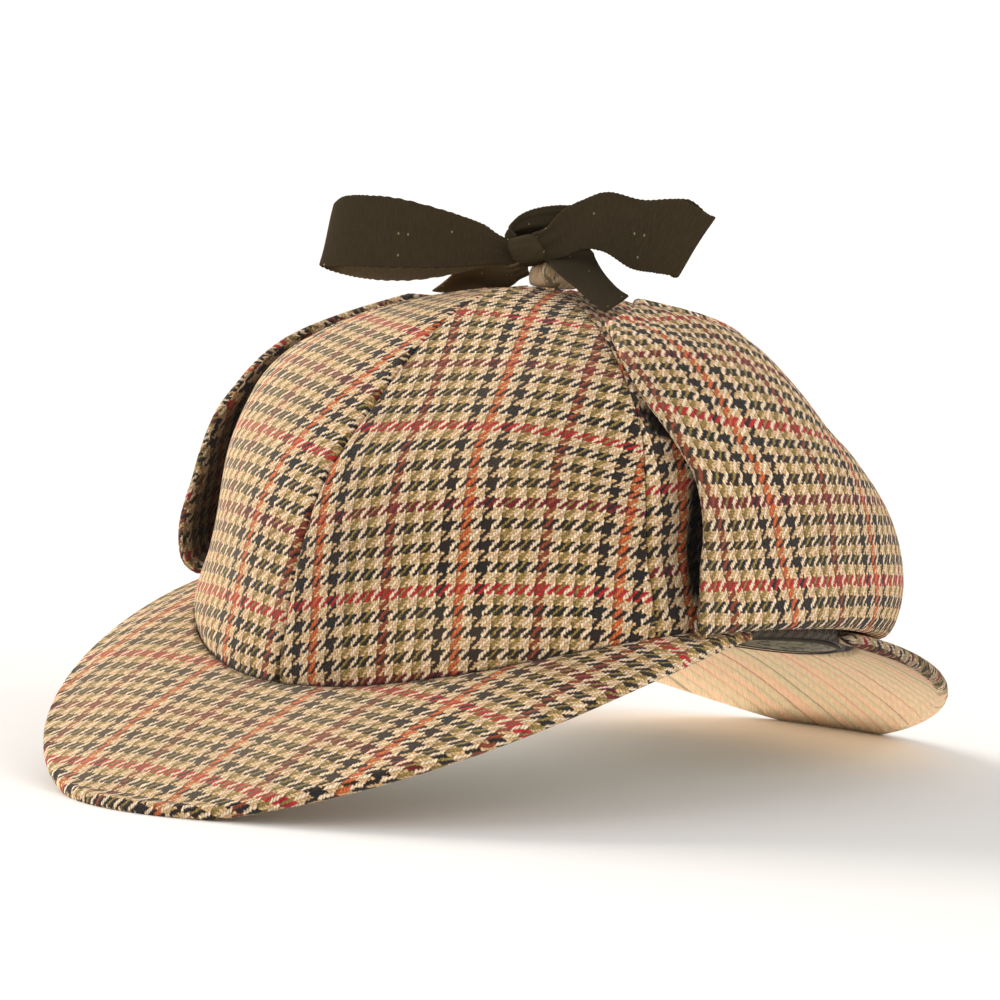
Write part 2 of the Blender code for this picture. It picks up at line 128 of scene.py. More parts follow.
RIBBON_WIDTH = 21.0 * MM
# The knot in the bow's frame, in mm: its middle and its two half axes, each along and up, and its
# half depth.
KNOT_MIDDLE = (-4.2, 96.1)
KNOT_AXES = ((4.7, 1.5), (2.7, -3.9))
KNOT_HALF_DEPTH = 4.6
# The ribbons' rows: along, aside and up in the bow's frame, or for the straps x, y and up in the hat's
# own, in mm. Then the width, and the turn and rise of its direction.
LEFT_LOOP_ROWS = (
    (-5.5, 1, 94.6, 7, 0, 90),
    (-9.5, 1.4, 94.9, 7.5, 0, 90),
    (-13.2, 2, 95.5, 8.5, 0, 90),
    (-18, 3.2, 96.4, 12, 0, 90),
    (-28, 4.6, 96.9, 16, 0, 90),
    (-42, 5.2, 97.4, 19.5, 0, 90),
    (-54, 4.2, 97, 20.5, 0, 87),
    (-61.6, 2.4, 96.1, 20.5, 0, 82),
    (-65.2, 0, 94.9, 18, 0, 79),
    (-61.6, -2.8, 94.4, 19.8, 0, 82),
    (-54, -4.8, 93.7, 20.5, 0, 87),
    (-42, -5.4, 93.8, 19.5, 0, 90),
    (-28, -4.6, 94.6, 15, 0, 90),
    (-18, -3, 95.6, 11, 0, 90),
    (-13.2, -1.6, 95.2, 7, 0, 90),
    (-6.5, -1, 94.8, 6, 0, 90),
)
RIGHT_LOOP_ROWS = (
    (-3, 1.6, 97, 8, 0, 95),
    (1.8, 2.4, 98.4, 9.5, 0, 98),
    (6.5, 3.2, 101.6, 13, 0, 100),
    (12.5, 4, 104.8, 14, 0, 98),
    (19.5, 4.8, 106.1, 17, 0, 92),
    (28.5, 5, 103.6, 19.5, 0, 84),
    (37, 4, 103.8, 22, 0, 74),
    (42.5, 2, 102.2, 20.5, 0, 64),
    (44.6, 0, 101.6, 20, 0, 62),
    (42, -2.4, 101.8, 20.5, 0, 65),
    (37, -4.2, 104.4, 21, 0, 75),
    (28, -5.2, 104.2, 18, 0, 86),
    (19.5, -4.8, 106, 15, 0, 92),
    (12.5, -4.2, 105.8, 11.5, 0, 95),
    (6.5, -3.8, 105.3, 9.5, 0, 90),
    (0, -3, 104.7, 9, 0, 90),
    (-6, -2, 103.4, 8.2, 0, 84),
    (-9.8, -0.8, 101.6, 7.4, 0, 76),
    (-11.4, 0.4, 99.2, 6.4, 0, 70),
    (-9, 1.2, 97.2, 6, 0, 70),
)
LEFT_STRAP_ROWS = (
    (36.4, -17.8, 83.8, 23, -115, 12),
    (28.5, -15.6, 86.6, 22, -112, 11),
    (21, -12.8, 89.8, 19, -105, 10),
    (12.6, -9.4, 93.4, 18, -92, 13),
    (7, -5.6, 95.2, 15, -75, 18),
    (2, -4.4, 96.4, 11, -60, 30),
    (-1.5, -6, 96.4, 8, -60, 30),
)
RIGHT_STRAP_ROWS = (
    (-44.6, 4.6, 81.6, 23, 80, 0),
    (-38, 2, 84.6, 22, 78, 4),
    (-31, -0.8, 86.6, 21, 76, 14),
    (-23, -4, 87.8, 18, 74, 26),
    (-15, -7, 88.6, 14, 70, 26),
    (-9, -9.6, 89.6, 11, 66, 20),
    (-4, -10.6, 91.6, 9.5, 60, 30),
)

# ---------------- the pieces in cloth, in mm
GORE_MIDDLE = -1.5  # off the dome, where both sides meet at the rim
GORE_INNER = -2.3
SEAM_PRESSED = 1.2  # how far the pressed seam's groove counts as being away
LINING_CLOTH = 0.9  # its thickness
FLAP_EDGE = 1.9  # the radius of its rolled edge
BINDING_OUT = (0, 0.15, 0.6, 1.05, 1.2, 1.15, 0.6, 0.05, 0)
BINDING_LEVEL = 3.2  # the drop that stays where it is slimmer
BINDING_DROP = (3.4, 3.9, 4.1, 3.9, 3.4, 3.1, 2.8, 3.1, 3.4)
# The button's outline, in shares of its radius and of its rise.
BUTTON_OUT = (0, 0.7, 0.97, 1.04, 1.03, 0.95, 0.8, 0.62, 0.42, 0.25, 0.12, 0)
BUTTON_UP = (0, 0, 0.05, 0.2, 0.42, 0.68, 0.87, 0.99, 1.02, 0.96, 0.86, 0.82)

# ---------------- the cloth as it was cut
FLAT_GRID = 19
FLAT_ROUNDS = 900
WARP_PITCH = 0.688 * MM  # from one warp yarn to the next
WEFT_PITCH = 0.735 * MM
# For each gore, where its yarns start: across and along the warp.
GORE_CUTS = ((0, 0), (56.6, 10), (40, 30), (9, 47), (52, 20), (33, 10))
# In yarns from here on.
HALF_STRIPE = 2
LEVEL_FROM, LEVEL_EASE = 50, 16  # where the slanted wefts start to run level, and how softly
FRONT_GORE_WEFT = 5.3
FRONT_GORE_CLIMBS = (
    # along the warp, across, climb to both sides
    (-20, 4, -0.14),
    (5, 3, -0.14),
    (30, 2, -0.14),
    (45, 1.5, -0.13),
    (58, 1.2, -0.06),
    (72, 3.5, 0.03),
    (100, 5, 0.03),
    (145, 3, 0.03),
)
FRONT_GORE_PULL = [(along, across, climb, climb, 1.07) for along, across, climb in FRONT_GORE_CLIMBS]
FLAP_WEFT = 33.1
FLAP_PULL = (
    # along the warp, across, climb to the right, climb to the left, closeness to the left
    (0, 51, 0.05, 0.05, 1),
    (20, 44, 0.06, 0.06, 1),
    (40, 34.5, 0.07, 0.07, 1.15),
    (66, 26.5, 0.13, 0.12, 1.3),
    (90, 23.4, 0.29, 0.40, 1.3),
    (111, 26, 0.30, 0.62, 1.3),
    (134, 30, 0.28, 0.50, 1.3),
    (160, 33, 0.28, 0.40, 1.3),
)

# ---------------- the studio
FLOOR_RADIUS, FLOOR_CORNERS = 40, 96
CAMERA_ANGLES = (40.88, 5.5, -2.55)  # azimuth from the hat's front, elevation and roll, in degrees
CAMERA_AIM = 0.040  # above the crown's base line
CAMERA_DISTANCE = 2.067
CAMERA_LENS = 263.376
CAMERA_SHIFT = (-0.0392, -0.0491)


# ---------------- shapes
LOW, HIGH, ALL = slice(0, -1), slice(1, None), slice(None)
CORNERS = ((LOW, LOW), (LOW, HIGH), (HIGH, HIGH), (HIGH, LOW))


def column(rows, index, at):
    """The smooth values of a table's column where its first column reads at."""
    data = np.array(rows, float)
    x, y = data[:, 0], data[:, index]
    last = len(x) - 1
    k = np.arange(last + 1)
    lower, upper = np.maximum(k - 1, 0), np.minimum(k + 1, last)
    slope = (y[upper] - y[lower]) / (x[upper] - x[lower])
    at = np.asarray(at, float)
    i = np.clip(np.searchsorted(x, at, "right") - 1, 0, last - 1)
    h = x[i + 1] - x[i]
    t = (at - x[i]) / h
    return (
        y[i] * (1 + 2 * t) * (1 - t) ** 2
        + y[i + 1] * t * t * (3 - 2 * t)
        + h * slope[i] * t * (1 - t) ** 2
        + h * slope[i + 1] * t * t * (t - 1)
    )


def unit(v):
    return v / np.maximum(np.linalg.norm(v, axis=-1, keepdims=True), 1e-12)


def spans(points, axis):
    """The distances between neighbours along an axis of a grid of points."""
    return np.linalg.norm(np.diff(points, axis=axis), axis=-1)


def running(steps, axis=0):
    """The running sum of steps, from zero."""
    return np.concatenate([0 * np.take(steps, [0], axis), np.cumsum(steps, axis)], axis)


def border(shape):
    """A mask of the outermost rows and columns."""
    mask = np.ones(shape, bool)
    mask[1:-1, 1:-1] = False
    return mask


def bump(distance, size):
    return np.exp(-((distance / size) ** 2))


def smooth(value):
    value = np.clip(value, 0, 1)
    return value * value * (3 - 2 * value)


def rounded(inward, radius):
    """The thickness, from 0 to 1, at a distance inward from an edge with a round section."""
    return np.sqrt(np.maximum(1 - (1 - np.minimum(inward / radius, 1)) ** 2, 0))


def wander(a, b, seed, waves=6):
    """A soft irregular value of two coordinates, about -1 to 1."""
    rng = np.random.default_rng(seed)
    total = 0
    for _ in range(waves):
        fa, fb = rng.normal(size=2)
        total = total + np.sin(a * fa + b * fb + rng.uniform(0, 2 * math.pi))
    return total / math.sqrt(waves)


def edged(steps, edge):
    """Shares from 0 to 1, closer together near both ends. edge is the share that a rolled edge takes."""
    near = edge * np.array([0, 0.08, 0.28, 0.6, 1.0, 1.7])
    middle = np.linspace(near[-1], 1 - near[-1], steps)
    return np.concatenate([near[:-1], middle, 1 - near[:-1][::-1]])


def base_point(phi):
    """Points of the crown's base line. Here and in dome_point angles are in radians."""
    s, c = np.sin(phi), np.cos(phi)
    size = (np.abs(s) ** CROWN_ROUNDNESS + np.abs(c) ** CROWN_ROUNDNESS) ** (1 / CROWN_ROUNDNESS)
    dip = np.where(c > 0, FRONT_DIP, BACK_DIP) * c * c
    return np.stack([CROWN_HALF_WIDTH * s / size, -CROWN_HALF_LENGTH * c / size, -dip], -1)


def dome_point(phi, theta):
    base = base_point(phi)
    from_side = np.clip(-np.arcsin(np.clip(np.cos(phi), -1, 1)) / BACK_REACH, 0, 1)
    front, back = np.maximum(np.cos(phi), 0) ** 2, smooth(from_side)
    at = np.maximum(np.degrees(theta), 0)
    shares = (front, 1 - front - back, back)
    full = sum(column(DOME_ROWS, k + 1, at) * share for k, share in enumerate(shares))
    out, up = np.cos(theta) * full, np.sin(theta)
    x, y = (base[..., k] * out + APEX[k] * up for k in (0, 1))
    return np.stack([x, y, base[..., 2] * (1 - up) + CROWN_RISE * up], -1)


def crown_point(phi, theta, out=0.0, drop=0.0):
    """Points of the dome moved out along its normal, then down. Angles are in degrees."""
    a, b, out = np.broadcast_arrays(np.radians(phi), np.radians(theta), out)
    step = 0.002
    inside = np.minimum(b, math.pi / 2 - 2 * step)
    round_head = dome_point(a + step, inside) - dome_point(a - step, inside)
    upward = dome_point(a, inside + step) - dome_point(a, inside - step)
    points = dome_point(a, b) + unit(np.cross(round_head, upward)) * out[..., None]
    points[..., 2] -= drop
    return points


def placed(points):
    """From the hat's own frame to where it rests on the floor."""
    x, y, z = points[..., 0], points[..., 1], points[..., 2]
    c, s = math.cos(LEAN), math.sin(LEAN)
    return np.stack([x + HAT_CENTRE[0], y * c + z * s + HAT_CENTRE[1], z * c - y * s + HAT_LIFT], -1)


# ---------------- cloth laid flat
def weights(count, at):
    """How much each of count even stations counts at places from 0 to 1, on a smooth curve."""
    knots = np.column_stack([np.arange(count), np.eye(count)])
    return np.stack([column(knots, k + 1, at * (count - 1)) for k in range(count)], -1)


def flatten(surface, upright):
    """The cloth that covers a surface, laid flat: springs between neighbours on a coarse grid take their
    real lengths. surface(level, share) gives points. Returns a function of levels and shares, in
    metres. upright is the share whose column starts upright."""
    even = np.linspace(0, 1, FLAT_GRID)
    points = surface(*np.meshgrid(even, even, indexing="ij"))
    u = running(spans(points[..., :2], 1), 1)
    middle = round(upright * (FLAT_GRID - 1))
    u = u - u[:, middle : middle + 1]
    v = running(spans(points, 0).mean(axis=1))[:, None] + points[:1, :, 2]
    flat = np.stack([u, v], -1)
    pairs = (
        ((ALL, LOW), (ALL, HIGH)),
        ((LOW, ALL), (HIGH, ALL)),
        ((LOW, LOW), (HIGH, HIGH)),
        ((LOW, HIGH), (HIGH, LOW)),
    )
    lengths = [np.linalg.norm(points[b] - points[a], axis=-1) for a, b in pairs]
    count = np.zeros(flat.shape[:2])
    for a, b in pairs:
        count[a] += 1
        count[b] += 1
    for _ in range(FLAT_ROUNDS):
        push = np.zeros_like(flat)
        for (a, b), length in zip(pairs, lengths):
            apart = flat[b] - flat[a]
            now = np.linalg.norm(apart, axis=-1)
            move = apart * (0.5 * (now - length) / np.maximum(now, 1e-9))[..., None]
            push[a] += move
            push[b] -= move
        flat = flat + push * (1.5 / count)[..., None]
    return lambda levels, shares: np.einsum(
        "rk,klx,cl->rcx", weights(FLAT_GRID, levels), flat, weights(FLAT_GRID, shares)
    )


def cut(flat, across=0.0, along=0.0, turn=0.0):
    """From metres on the flat panel to yarns of the cloth: where its yarns start, across and along the
    warp, and how far the warp is turned from upright, in degrees."""
    c, s = math.cos(math.radians(turn)), math.sin(math.radians(turn))
    u, v = flat[..., 0], flat[..., 1]
    return np.stack([(u * c + v * s) / WARP_PITCH + across, (v * c - u * s) / WEFT_PITCH + along], -1)


def drawn(weave, rows, first):
    """The weave as the cloth was pulled when it was sewn. rows give, for each place along the warp, the
    straight warp's place across, how far the wefts climb to its right and to its left, and how much
    closer the warps stand to its left. first is the weft that starts the checks."""
    at = np.clip(weave[..., 1], rows[0][0], rows[-1][0])
    aside = weave[..., 0] - column(rows, 1, at)
    # Far to the right the wefts run level again.
    far = np.maximum(aside - LEVEL_FROM, 0)
    slanted = aside - far + LEVEL_EASE * (1 - np.exp(-far / LEVEL_EASE))
    climb = np.where(aside > 0, column(rows, 2, at), column(rows, 3, at))
    close = np.where(aside > 0, 1.0, column(rows, 4, at))
    return np.stack(
        [aside * close + HALF_STRIPE, weave[..., 1] + climb * slanted - first + HALF_STRIPE], -1
    )


# ---------------- materials
class Nodes:
    """Short calls for building one material's nodes."""

    def __init__(self, name):
        self.material = bpy.data.materials.new(name)
        self.material.use_nodes = True
        self.tree = self.material.node_tree
        self.shader = self.tree.nodes["Principled BSDF"]

    def put(self, node, values):
        """Sets or links inputs. values are by the inputs' names or numbers."""
        for key, value in values.items():
            if isinstance(value, bpy.types.NodeSocket):
                self.tree.links.new(value, node.inputs[key])
            else:
                node.inputs[key].default_value = value

    def node(self, kind, values, **settings):
        """Adds a node and returns its outputs."""
        made = self.tree.nodes.new(kind)
        for key, value in settings.items():
            setattr(made, key, value)
        self.put(made, values)
        return made.outputs

    def math(self, operation, *values, clamp=False):
        return self.node("ShaderNodeMath", dict(enumerate(values)), operation=operation, use_clamp=clamp)[0]

    def add(self, a, b):
        return self.math("ADD", a, b)

    def times(self, a, b):
        return self.math("MULTIPLY", a, b)

    def line(self, value, slope, start):
        """value times slope plus start."""
        return self.math("MULTIPLY_ADD", value, slope, start)

    def ramp(self, value, slope, start):
        """The same, held between 0 and 1."""
        return self.math("MULTIPLY_ADD", value, slope, start, clamp=True)

    def ribs(self, at, pitch):
        return self.math("SINE", self.times(at, 2 * math.pi / pitch))

    def vector(self, x, y, z=0.0):
        return self.node("ShaderNodeCombineXYZ", {0: x, 1: y, 2: z})[0]

    def split(self, vector):
        return self.node("ShaderNodeSeparateXYZ", {0: vector})

    def grain(self):
        """The place in the weave, and its parts across and along."""
        place = self.node("ShaderNodeUVMap", {}, uv_map="grain")[0]
        x, y, _ = self.split(place)
        return place, x, y

    def wear_and_painted_light(self):
        return self.node("ShaderNodeAttribute", {}, attribute_name="wear_and_painted_light")["Fac"]

    def noise(self, vector, scale, detail=2.0, roughness=0.5, colour=False):
        values = {"Vector": vector, "Scale": scale, "Detail": detail, "Roughness": roughness}
        return self.node("ShaderNodeTexNoise", values)["Color" if colour else "Fac"]

    def streaks(self, x, y, across, along, detail=3.0, roughness=0.5):
        """Noise with its own fineness across and along."""
        place = self.vector(self.times(x, across), self.times(y, along))
        return self.noise(place, 1.0, detail, roughness)

    def between(self, share, a, b):
        """A plain value between two others."""
        return self.node("ShaderNodeMix", {0: share, 2: a, 3: b}, data_type="FLOAT")[0]

    def mix(self, share, a, b, blend="MIX"):
        values = {0: share, 6: a, 7: b}
        return self.node("ShaderNodeMix", values, data_type="RGBA", blend_type=blend)[2]

    def dim(self, colour, share):
        """The colour times a plain value."""
        return self.mix(1.0, colour, self.vector(share, share, share), "MULTIPLY")

    def steps(self, at, stops):
        """Colours that change sharply. stops are (place from 0 to 1, colour)."""
        made = self.tree.nodes.new("ShaderNodeValToRGB")
        ramp = made.color_ramp
        ramp.interpolation = "CONSTANT"
        while len(ramp.elements) < len(stops):
            ramp.elements.new(0.5)
        for element, (place, colour) in zip(ramp.elements, stops):
            element.position = place
            element.color = colour
        self.put(made, {0: at})
        return made.outputs[0]

    def finish(self, colour, roughness, specular=0.5, sheen=0.0, sheen_roughness=0.5):
        names = ("Base Color", "Roughness", "Specular IOR Level", "Sheen Weight", "Sheen Roughness")
        values = (colour, roughness, specular, sheen, sheen_roughness)
        self.put(self.shader, dict(zip(names, values)))

    def bump(self, height, distance):
        made = self.node("ShaderNodeBump", {"Strength": 1.0, "Distance": distance, "Height": height})
        self.put(self.shader, {"Normal": made[0]})


def linear(r, g, b):
    """A colour from its 0 to 255 screen values."""
    return tuple((v / 255) ** 2.2 for v in (r, g, b)) + (1,)


CREAM = linear(252, 222, 186)
TAN = linear(224, 184, 132)
DYES = {
    "orange": linear(214, 104, 54),
    "black": linear(46, 36, 29),
    "green": linear(152, 128, 68),
    "rust": linear(150, 70, 44),
    "red": linear(190, 40, 46),
    "navy": linear(36, 36, 36),
    "dark": linear(46, 36, 30),
    "maroon": linear(120, 32, 42),
}
# The dyed stripe of each check in turn. It takes half the check, and undyed yarns take the rest.
WARP_CHECKS = ("orange", "black", "green", "green", "rust", "green", "green", "black")
WEFT_CHECKS = ("red", "navy", "dark", "dark", "maroon", "dark", "dark", "navy")
CHECK_YARNS = 8
# How far each warp yarn hides the wefts: over a dyed weft, and over an undyed one.
WARP_COVER = {
    "orange": (1.6, 1.8),
    "black": (0.3, 0.7),
    "green": (-0.75, 0.85),
    "rust": (0.9, 1.5),
    "cream": (0.8, 0.8),
}
# How strongly each dyed warp shows as a line on the cloth's reverse.
REVERSE_LINES = {"orange": 0.12, "black": 0.8, "green": 0.3, "rust": 0.5}
YARN_DRIFTS = (
    # the noise's scale, detail and roughness, and how far it moves the yarns, in yarns
    (0.11, 2.0, 0.5, 1.6),
    (0.42, 2.0, 0.5, 1.3),
    (1.2, 4.0, 0.62, 1.8),
)
FIBRE_TINTS = (0.24, 0.16, 0.4)  # how far red, green and blue vary


def strayed(n, place, x, y):
    """The place among the yarns, which stray a little from their straight lines."""
    for scale, detail, roughness, reach in YARN_DRIFTS:
        drift = n.split(n.noise(place, scale, detail, roughness, colour=True))
        x, y = (n.line(n.add(part, -0.5), reach, at) for part, at in zip(drift, (x, y)))
    return x, y


def yarn_height(n, run, other, part, phase):
    """A yarn's height along its run, in a twill of two over two. The floats of neighbours merge into one
    stroke."""
    from_middle = n.add(part, -0.5)
    merged = n.add(other, n.times(from_middle, 0.35))
    rise = n.math("COSINE", n.times(n.add(n.math("SUBTRACT", run, merged), phase), math.pi / 2))
    return n.add(rise, n.times(n.times(from_middle, from_middle), -1.6))


def in_checks(n, yarn, count):
    """How far through its repeat of count yarns a yarn is, from 0 to 1."""
    return n.math("FRACT", n.times(n.add(yarn, 0.5), 1 / count))


def along_checks(n, yarn, values, plain):
    """Each yarn's own colour: that of its check's dyed stripe, or plain."""
    count = len(values)
    stops = []
    for k, value in enumerate(values):
        stops += [(k / count, value), ((k + 0.5) / count, plain)]
    return n.steps(in_checks(n, yarn, CHECK_YARNS * count), stops)


def dyed(n, yarn, dyes, plain, seed):
    """The yarns' colours, each a little lighter or darker than the next."""
    colours = along_checks(n, yarn, [DYES[dye] for dye in dyes], plain)
    tone = n.node("ShaderNodeTexWhiteNoise", {"W": n.add(yarn, seed)}, noise_dimensions="1D")[0]
    return n.dim(colours, n.line(tone, 0.24, 0.88))


def cover_stop(dye):
    """A dye's two covers as a ramp's colour, which holds values from 0 to 1."""
    return tuple(cover / 2 + 0.5 for cover in WARP_COVER[dye]) + (0, 1)


def reverse_side(n, x, y, warp_yarn, fibre, face):
    """The cloth's reverse: faint lines along the warp on a pale ground. Its pale ground and light flecks
    are partly painted light.
    """
    faded = [(REVERSE_LINES[dye],) * 3 + (1,) for dye in WARP_CHECKS]
    line = n.split(along_checks(n, warp_yarn, faded, (0, 0, 0, 1)))[0]
    line = n.times(line, n.math("LESS_THAN", in_checks(n, warp_yarn, CHECK_YARNS), 0.24))
    streak = n.streaks(x, y, 0.5, 0.04, roughness=0.6)
    line = n.times(line, n.ramp(streak, 2.2, -0.5))
    band = n.ramp(n.streaks(x, y, 0.2, 0.012, detail=2.0), 5.0, -2.0)
    ground = n.mix(band, linear(226, 208, 164), linear(252, 198, 160))
    reverse = n.mix(line, n.mix(0.2, ground, face), linear(112, 78, 48))
    return n.mix(n.times(fibre, 0.25), reverse, linear(255, 240, 205))


def tweed_material():
    """Its attribute: up to one the cloth is paler, partly as painted light, above one it is the reverse,
    and below zero it is darker with painted shade.
    """
    n = Nodes("tweed_cloth")
    place, x, y = n.grain()
    wear_and_painted_light = n.wear_and_painted_light()
    u, v = strayed(n, place, x, y)
    i, j = n.math("FLOOR", u), n.math("FLOOR", v)
    part_u, part_v = n.math("FRACT", u), n.math("FRACT", v)
    warp = yarn_height(n, v, i, part_u, -1.0)
    weft = yarn_height(n, u, j, part_v, -2.0)
    undyed, over_tan = (n.math("GREATER_THAN", in_checks(n, yarn, CHECK_YARNS), 0.5) for yarn in (i, j))
    cover = n.split(along_checks(n, i, [cover_stop(dye) for dye in WARP_CHECKS], cover_stop("cream")))
    bias = n.line(n.between(over_tan, cover[0], cover[1]), 2.0, -1.0)
    over = n.ramp(n.math("SUBTRACT", warp, weft), 1.2, bias)
    colour = n.mix(over, dyed(n, j, WEFT_CHECKS, TAN, 71.7), dyed(n, i, WARP_CHECKS, CREAM, 3.3))
    # The yarns are spun from fibres of several tints.
    tints = zip(n.split(n.noise(place, 0.9, 2.0, 0.6, colour=True)), FIBRE_TINTS)
    tint = n.vector(*(n.line(part, reach, 1 - reach / 2) for part, reach in tints))
    colour = n.mix(1.0, colour, tint, "MULTIPLY")
    fibre = n.noise(place, 2.4, 3.0, 0.65)
    # Painted shade: yarns that lie lower, in the gaps between the floats, are darker, and the fibres vary
    # the tone at random.
    highest = n.math("MAXIMUM", warp, weft)
    raised = n.ramp(highest, 0.62, 0.42)
    shade = n.times(n.line(fibre, 1.1, 0.5), n.line(raised, 0.72, 0.36))
    # The thick undyed warps shade the first dyed warp beside them.
    beside = n.line(n.math("FRACT", n.times(u, 1 / CHECK_YARNS)), 5.0, 0.3)
    shade = n.times(shade, n.math("MAXIMUM", n.math("SMOOTH_MIN", beside, 1.0, 0.3), undyed))
    # Painted shade: a yarn is darker along its two sides.
    across = n.add(n.between(over, part_v, part_u), -0.5)
    shade = n.times(shade, n.line(n.times(across, across), -2.2, 1.22))
    colour = n.dim(colour, shade)
    # From zero to one the cloth turns paler, partly as painted light.
    pale = n.mix(0.5, colour, linear(232, 205, 160))
    colour = n.mix(n.math("MAXIMUM", wear_and_painted_light, 0.0, clamp=True), colour, pale)
    reverse = reverse_side(n, x, y, i, fibre, colour)
    colour = n.mix(n.math("ADD", wear_and_painted_light, -1.0, clamp=True), colour, reverse)
    # Painted shade: below zero the cloth is darker.
    colour = n.dim(colour, n.ramp(n.math("MINIMUM", wear_and_painted_light, 0.0), 0.93, 1.0))
    n.finish(colour, roughness=0.95, specular=0.25, sheen=0.12, sheen_roughness=0.6)
    relief = n.add(n.times(highest, 0.8), n.times(n.times(undyed, over), 0.7))
    n.bump(n.add(relief, fibre), 0.36 * MM)
    return n.material


def ribbon_material():
    """Its attribute is painted light and shade: the cloth's brightness is one plus it."""
    n = Nodes("ribbon_cloth")
    place, x, y = n.grain()
    weave = n.times(n.ribs(x, 0.62), n.ribs(y, 0.62))
    slubs = n.streaks(x, y, 0.25, 2.0)
    cloud = n.noise(place, 0.12, 3.0)
    base = n.mix(slubs, linear(52, 46, 36), linear(80, 70, 55))
    base = n.mix(n.times(cloud, 0.5), base, linear(62, 55, 43))
    # A few pale specks of lint.
    cells = {"Vector": n.vector(x, n.times(y, 1.6)), "Scale": 0.3}
    specks = n.node("ShaderNodeTexVoronoi", cells, voronoi_dimensions="2D")
    chosen = n.math("GREATER_THAN", n.split(specks["Color"])[0], 0.975)
    dot = n.times(n.math("LESS_THAN", specks["Distance"], 0.12), chosen)
    colour = n.mix(n.times(dot, 0.5), base, linear(190, 178, 140))
    n.finish(n.dim(colour, n.add(n.wear_and_painted_light(), 1.0)), roughness=0.95, specular=0.03)
    n.bump(n.add(weave, n.times(slubs, 1.2)), 0.05 * MM)
    return n.material


def satin_material():
    n = Nodes("satin_cloth")
    _, x, y = n.grain()
    twill = n.ribs(n.add(x, y), 1.1)
    streak = n.streaks(x, y, 0.2, 3.0)
    colour = n.mix(streak, linear(112, 106, 82), linear(188, 178, 146))
    # Painted shade: thin folds show as dark lines low down, and the hem below the gores is dark and dull.
    fold = n.math("ABSOLUTE", n.add(n.streaks(x, y, 0.1, 1.2), -0.5))
    shadow = n.times(n.ramp(fold, -18.0, 1.0), n.ramp(y, -0.15, 1.2))
    hem = n.ramp(y, -3.0, -7.2)
    colour = n.mix(n.math("MAXIMUM", shadow, hem), colour, linear(38, 34, 26))
    n.finish(colour, roughness=n.math("MAXIMUM", n.line(streak, 0.2, 0.3), hem), sheen=0.15)
    n.bump(n.add(n.times(twill, 0.4), streak), 0.06 * MM)
    return n.material


def binding_material():
    n = Nodes("binding_cloth")
    place, x, _ = n.grain()
    fibre = n.noise(place, 1.5, 3.0)
    n.finish(n.mix(fibre, linear(42, 36, 30), linear(66, 56, 44)), roughness=0.85)
    n.bump(n.add(n.ribs(x, 1.2), fibre), 0.12 * MM)
    return n.material


# By the record's material slot.
MATERIALS = {
    "tweed": tweed_material(),
    "ribbon": ribbon_material(),
    "satin": satin_material(),
    "binding": binding_material(),
}


# ---------------- meshes
# What a patch takes of the bake picture: left, bottom, right and top.
WHOLE_BAKE = (0.01, 0.01, 0.99, 0.99)
OUTER_BAKE, INNER_BAKE = (0.01, 0.01, 0.62, 0.99), (0.64, 0.01, 0.99, 0.99)
TOP_BAKE, UNDER_BAKE = (0.01, 0.40, 0.99, 0.99), (0.01, 0.01, 0.99, 0.38)
LINING_BAKES = ((0.01, 0.51, 0.99, 0.99), (0.01, 0.01, 0.99, 0.49))


def linked(name, data):
    made = bpy.data.objects.new(name, data)
    bpy.context.scene.collection.objects.link(made)
    return made


def shares_of(points, axis):
    run = running(spans(points, axis).mean(axis=1 - axis))
    return run / run[-1]


def make(name, patches, slot="tweed"):
    """A mesh of welded patches that replaces the node of its name. A patch is a grid of points, their place
    in the weave, their wear with painted light and shade, and the part of the bake picture that it takes.
    Its faces look to the side from which rows run up as columns run to the right."""
    points, faces, grain, bake, wear_and_painted_light = [], [], [], [], []
    start = 0
    for grid, weave, painted_light_and_wear, (x0, y0, x1, y1) in patches:
        shape = grid.shape[:2]
        index = start + np.arange(shape[0] * shape[1]).reshape(shape)
        start += index.size
        across, up = np.meshgrid(shares_of(grid, 1), shares_of(grid, 0))
        place = np.stack([x0 + (x1 - x0) * across, y0 + (y1 - y0) * up], -1)
        points.append(grid.reshape(-1, 3))
        faces.append(np.stack([index[c] for c in CORNERS], -1).reshape(-1, 4))
        grain.append(np.stack([weave[c] for c in CORNERS], 2).ravel())
        bake.append(np.stack([place[c] for c in CORNERS], 2).ravel())
        wear_and_painted_light.append(np.broadcast_to(painted_light_and_wear, shape).ravel())
    mesh = bpy.data.meshes.new(name)
    mesh.from_pydata(np.concatenate(points).tolist(), [], np.concatenate(faces).tolist())
    mesh.uv_layers.new(name="grain").data.foreach_set("uv", np.concatenate(grain))
    mesh.uv_layers.new(name="OFBake").data.foreach_set("uv", np.concatenate(bake))
    mesh.attributes.new("wear_and_painted_light", "FLOAT", "POINT").data.foreach_set("value", np.concatenate(wear_and_painted_light))
    bm = bmesh.new()
    bm.from_mesh(mesh)
    bmesh.ops.remove_doubles(bm, verts=bm.verts, dist=2e-6)
    bmesh.ops.dissolve_degenerate(bm, dist=1e-7, edges=bm.edges)
    bm.to_mesh(mesh)
    bm.free()
    mesh.materials.append(MATERIALS[slot])
    mesh.shade_smooth()
    obj = linked(name + "_cloth", mesh)
    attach(obj, "root")
    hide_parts(name)
    return obj


def turned(*grids):
    """The same grids, facing the other way."""
    return [grid[:, ::-1] for grid in grids]


def pillow(name, outer, inner, slot="tweed"):
    """A closed sheet of two sides that share their border. A side is a grid, its weave and its wear with
    painted light and shade.
    """
    return make(name, [(*outer, OUTER_BAKE), (*turned(*inner), INNER_BAKE)], slot)


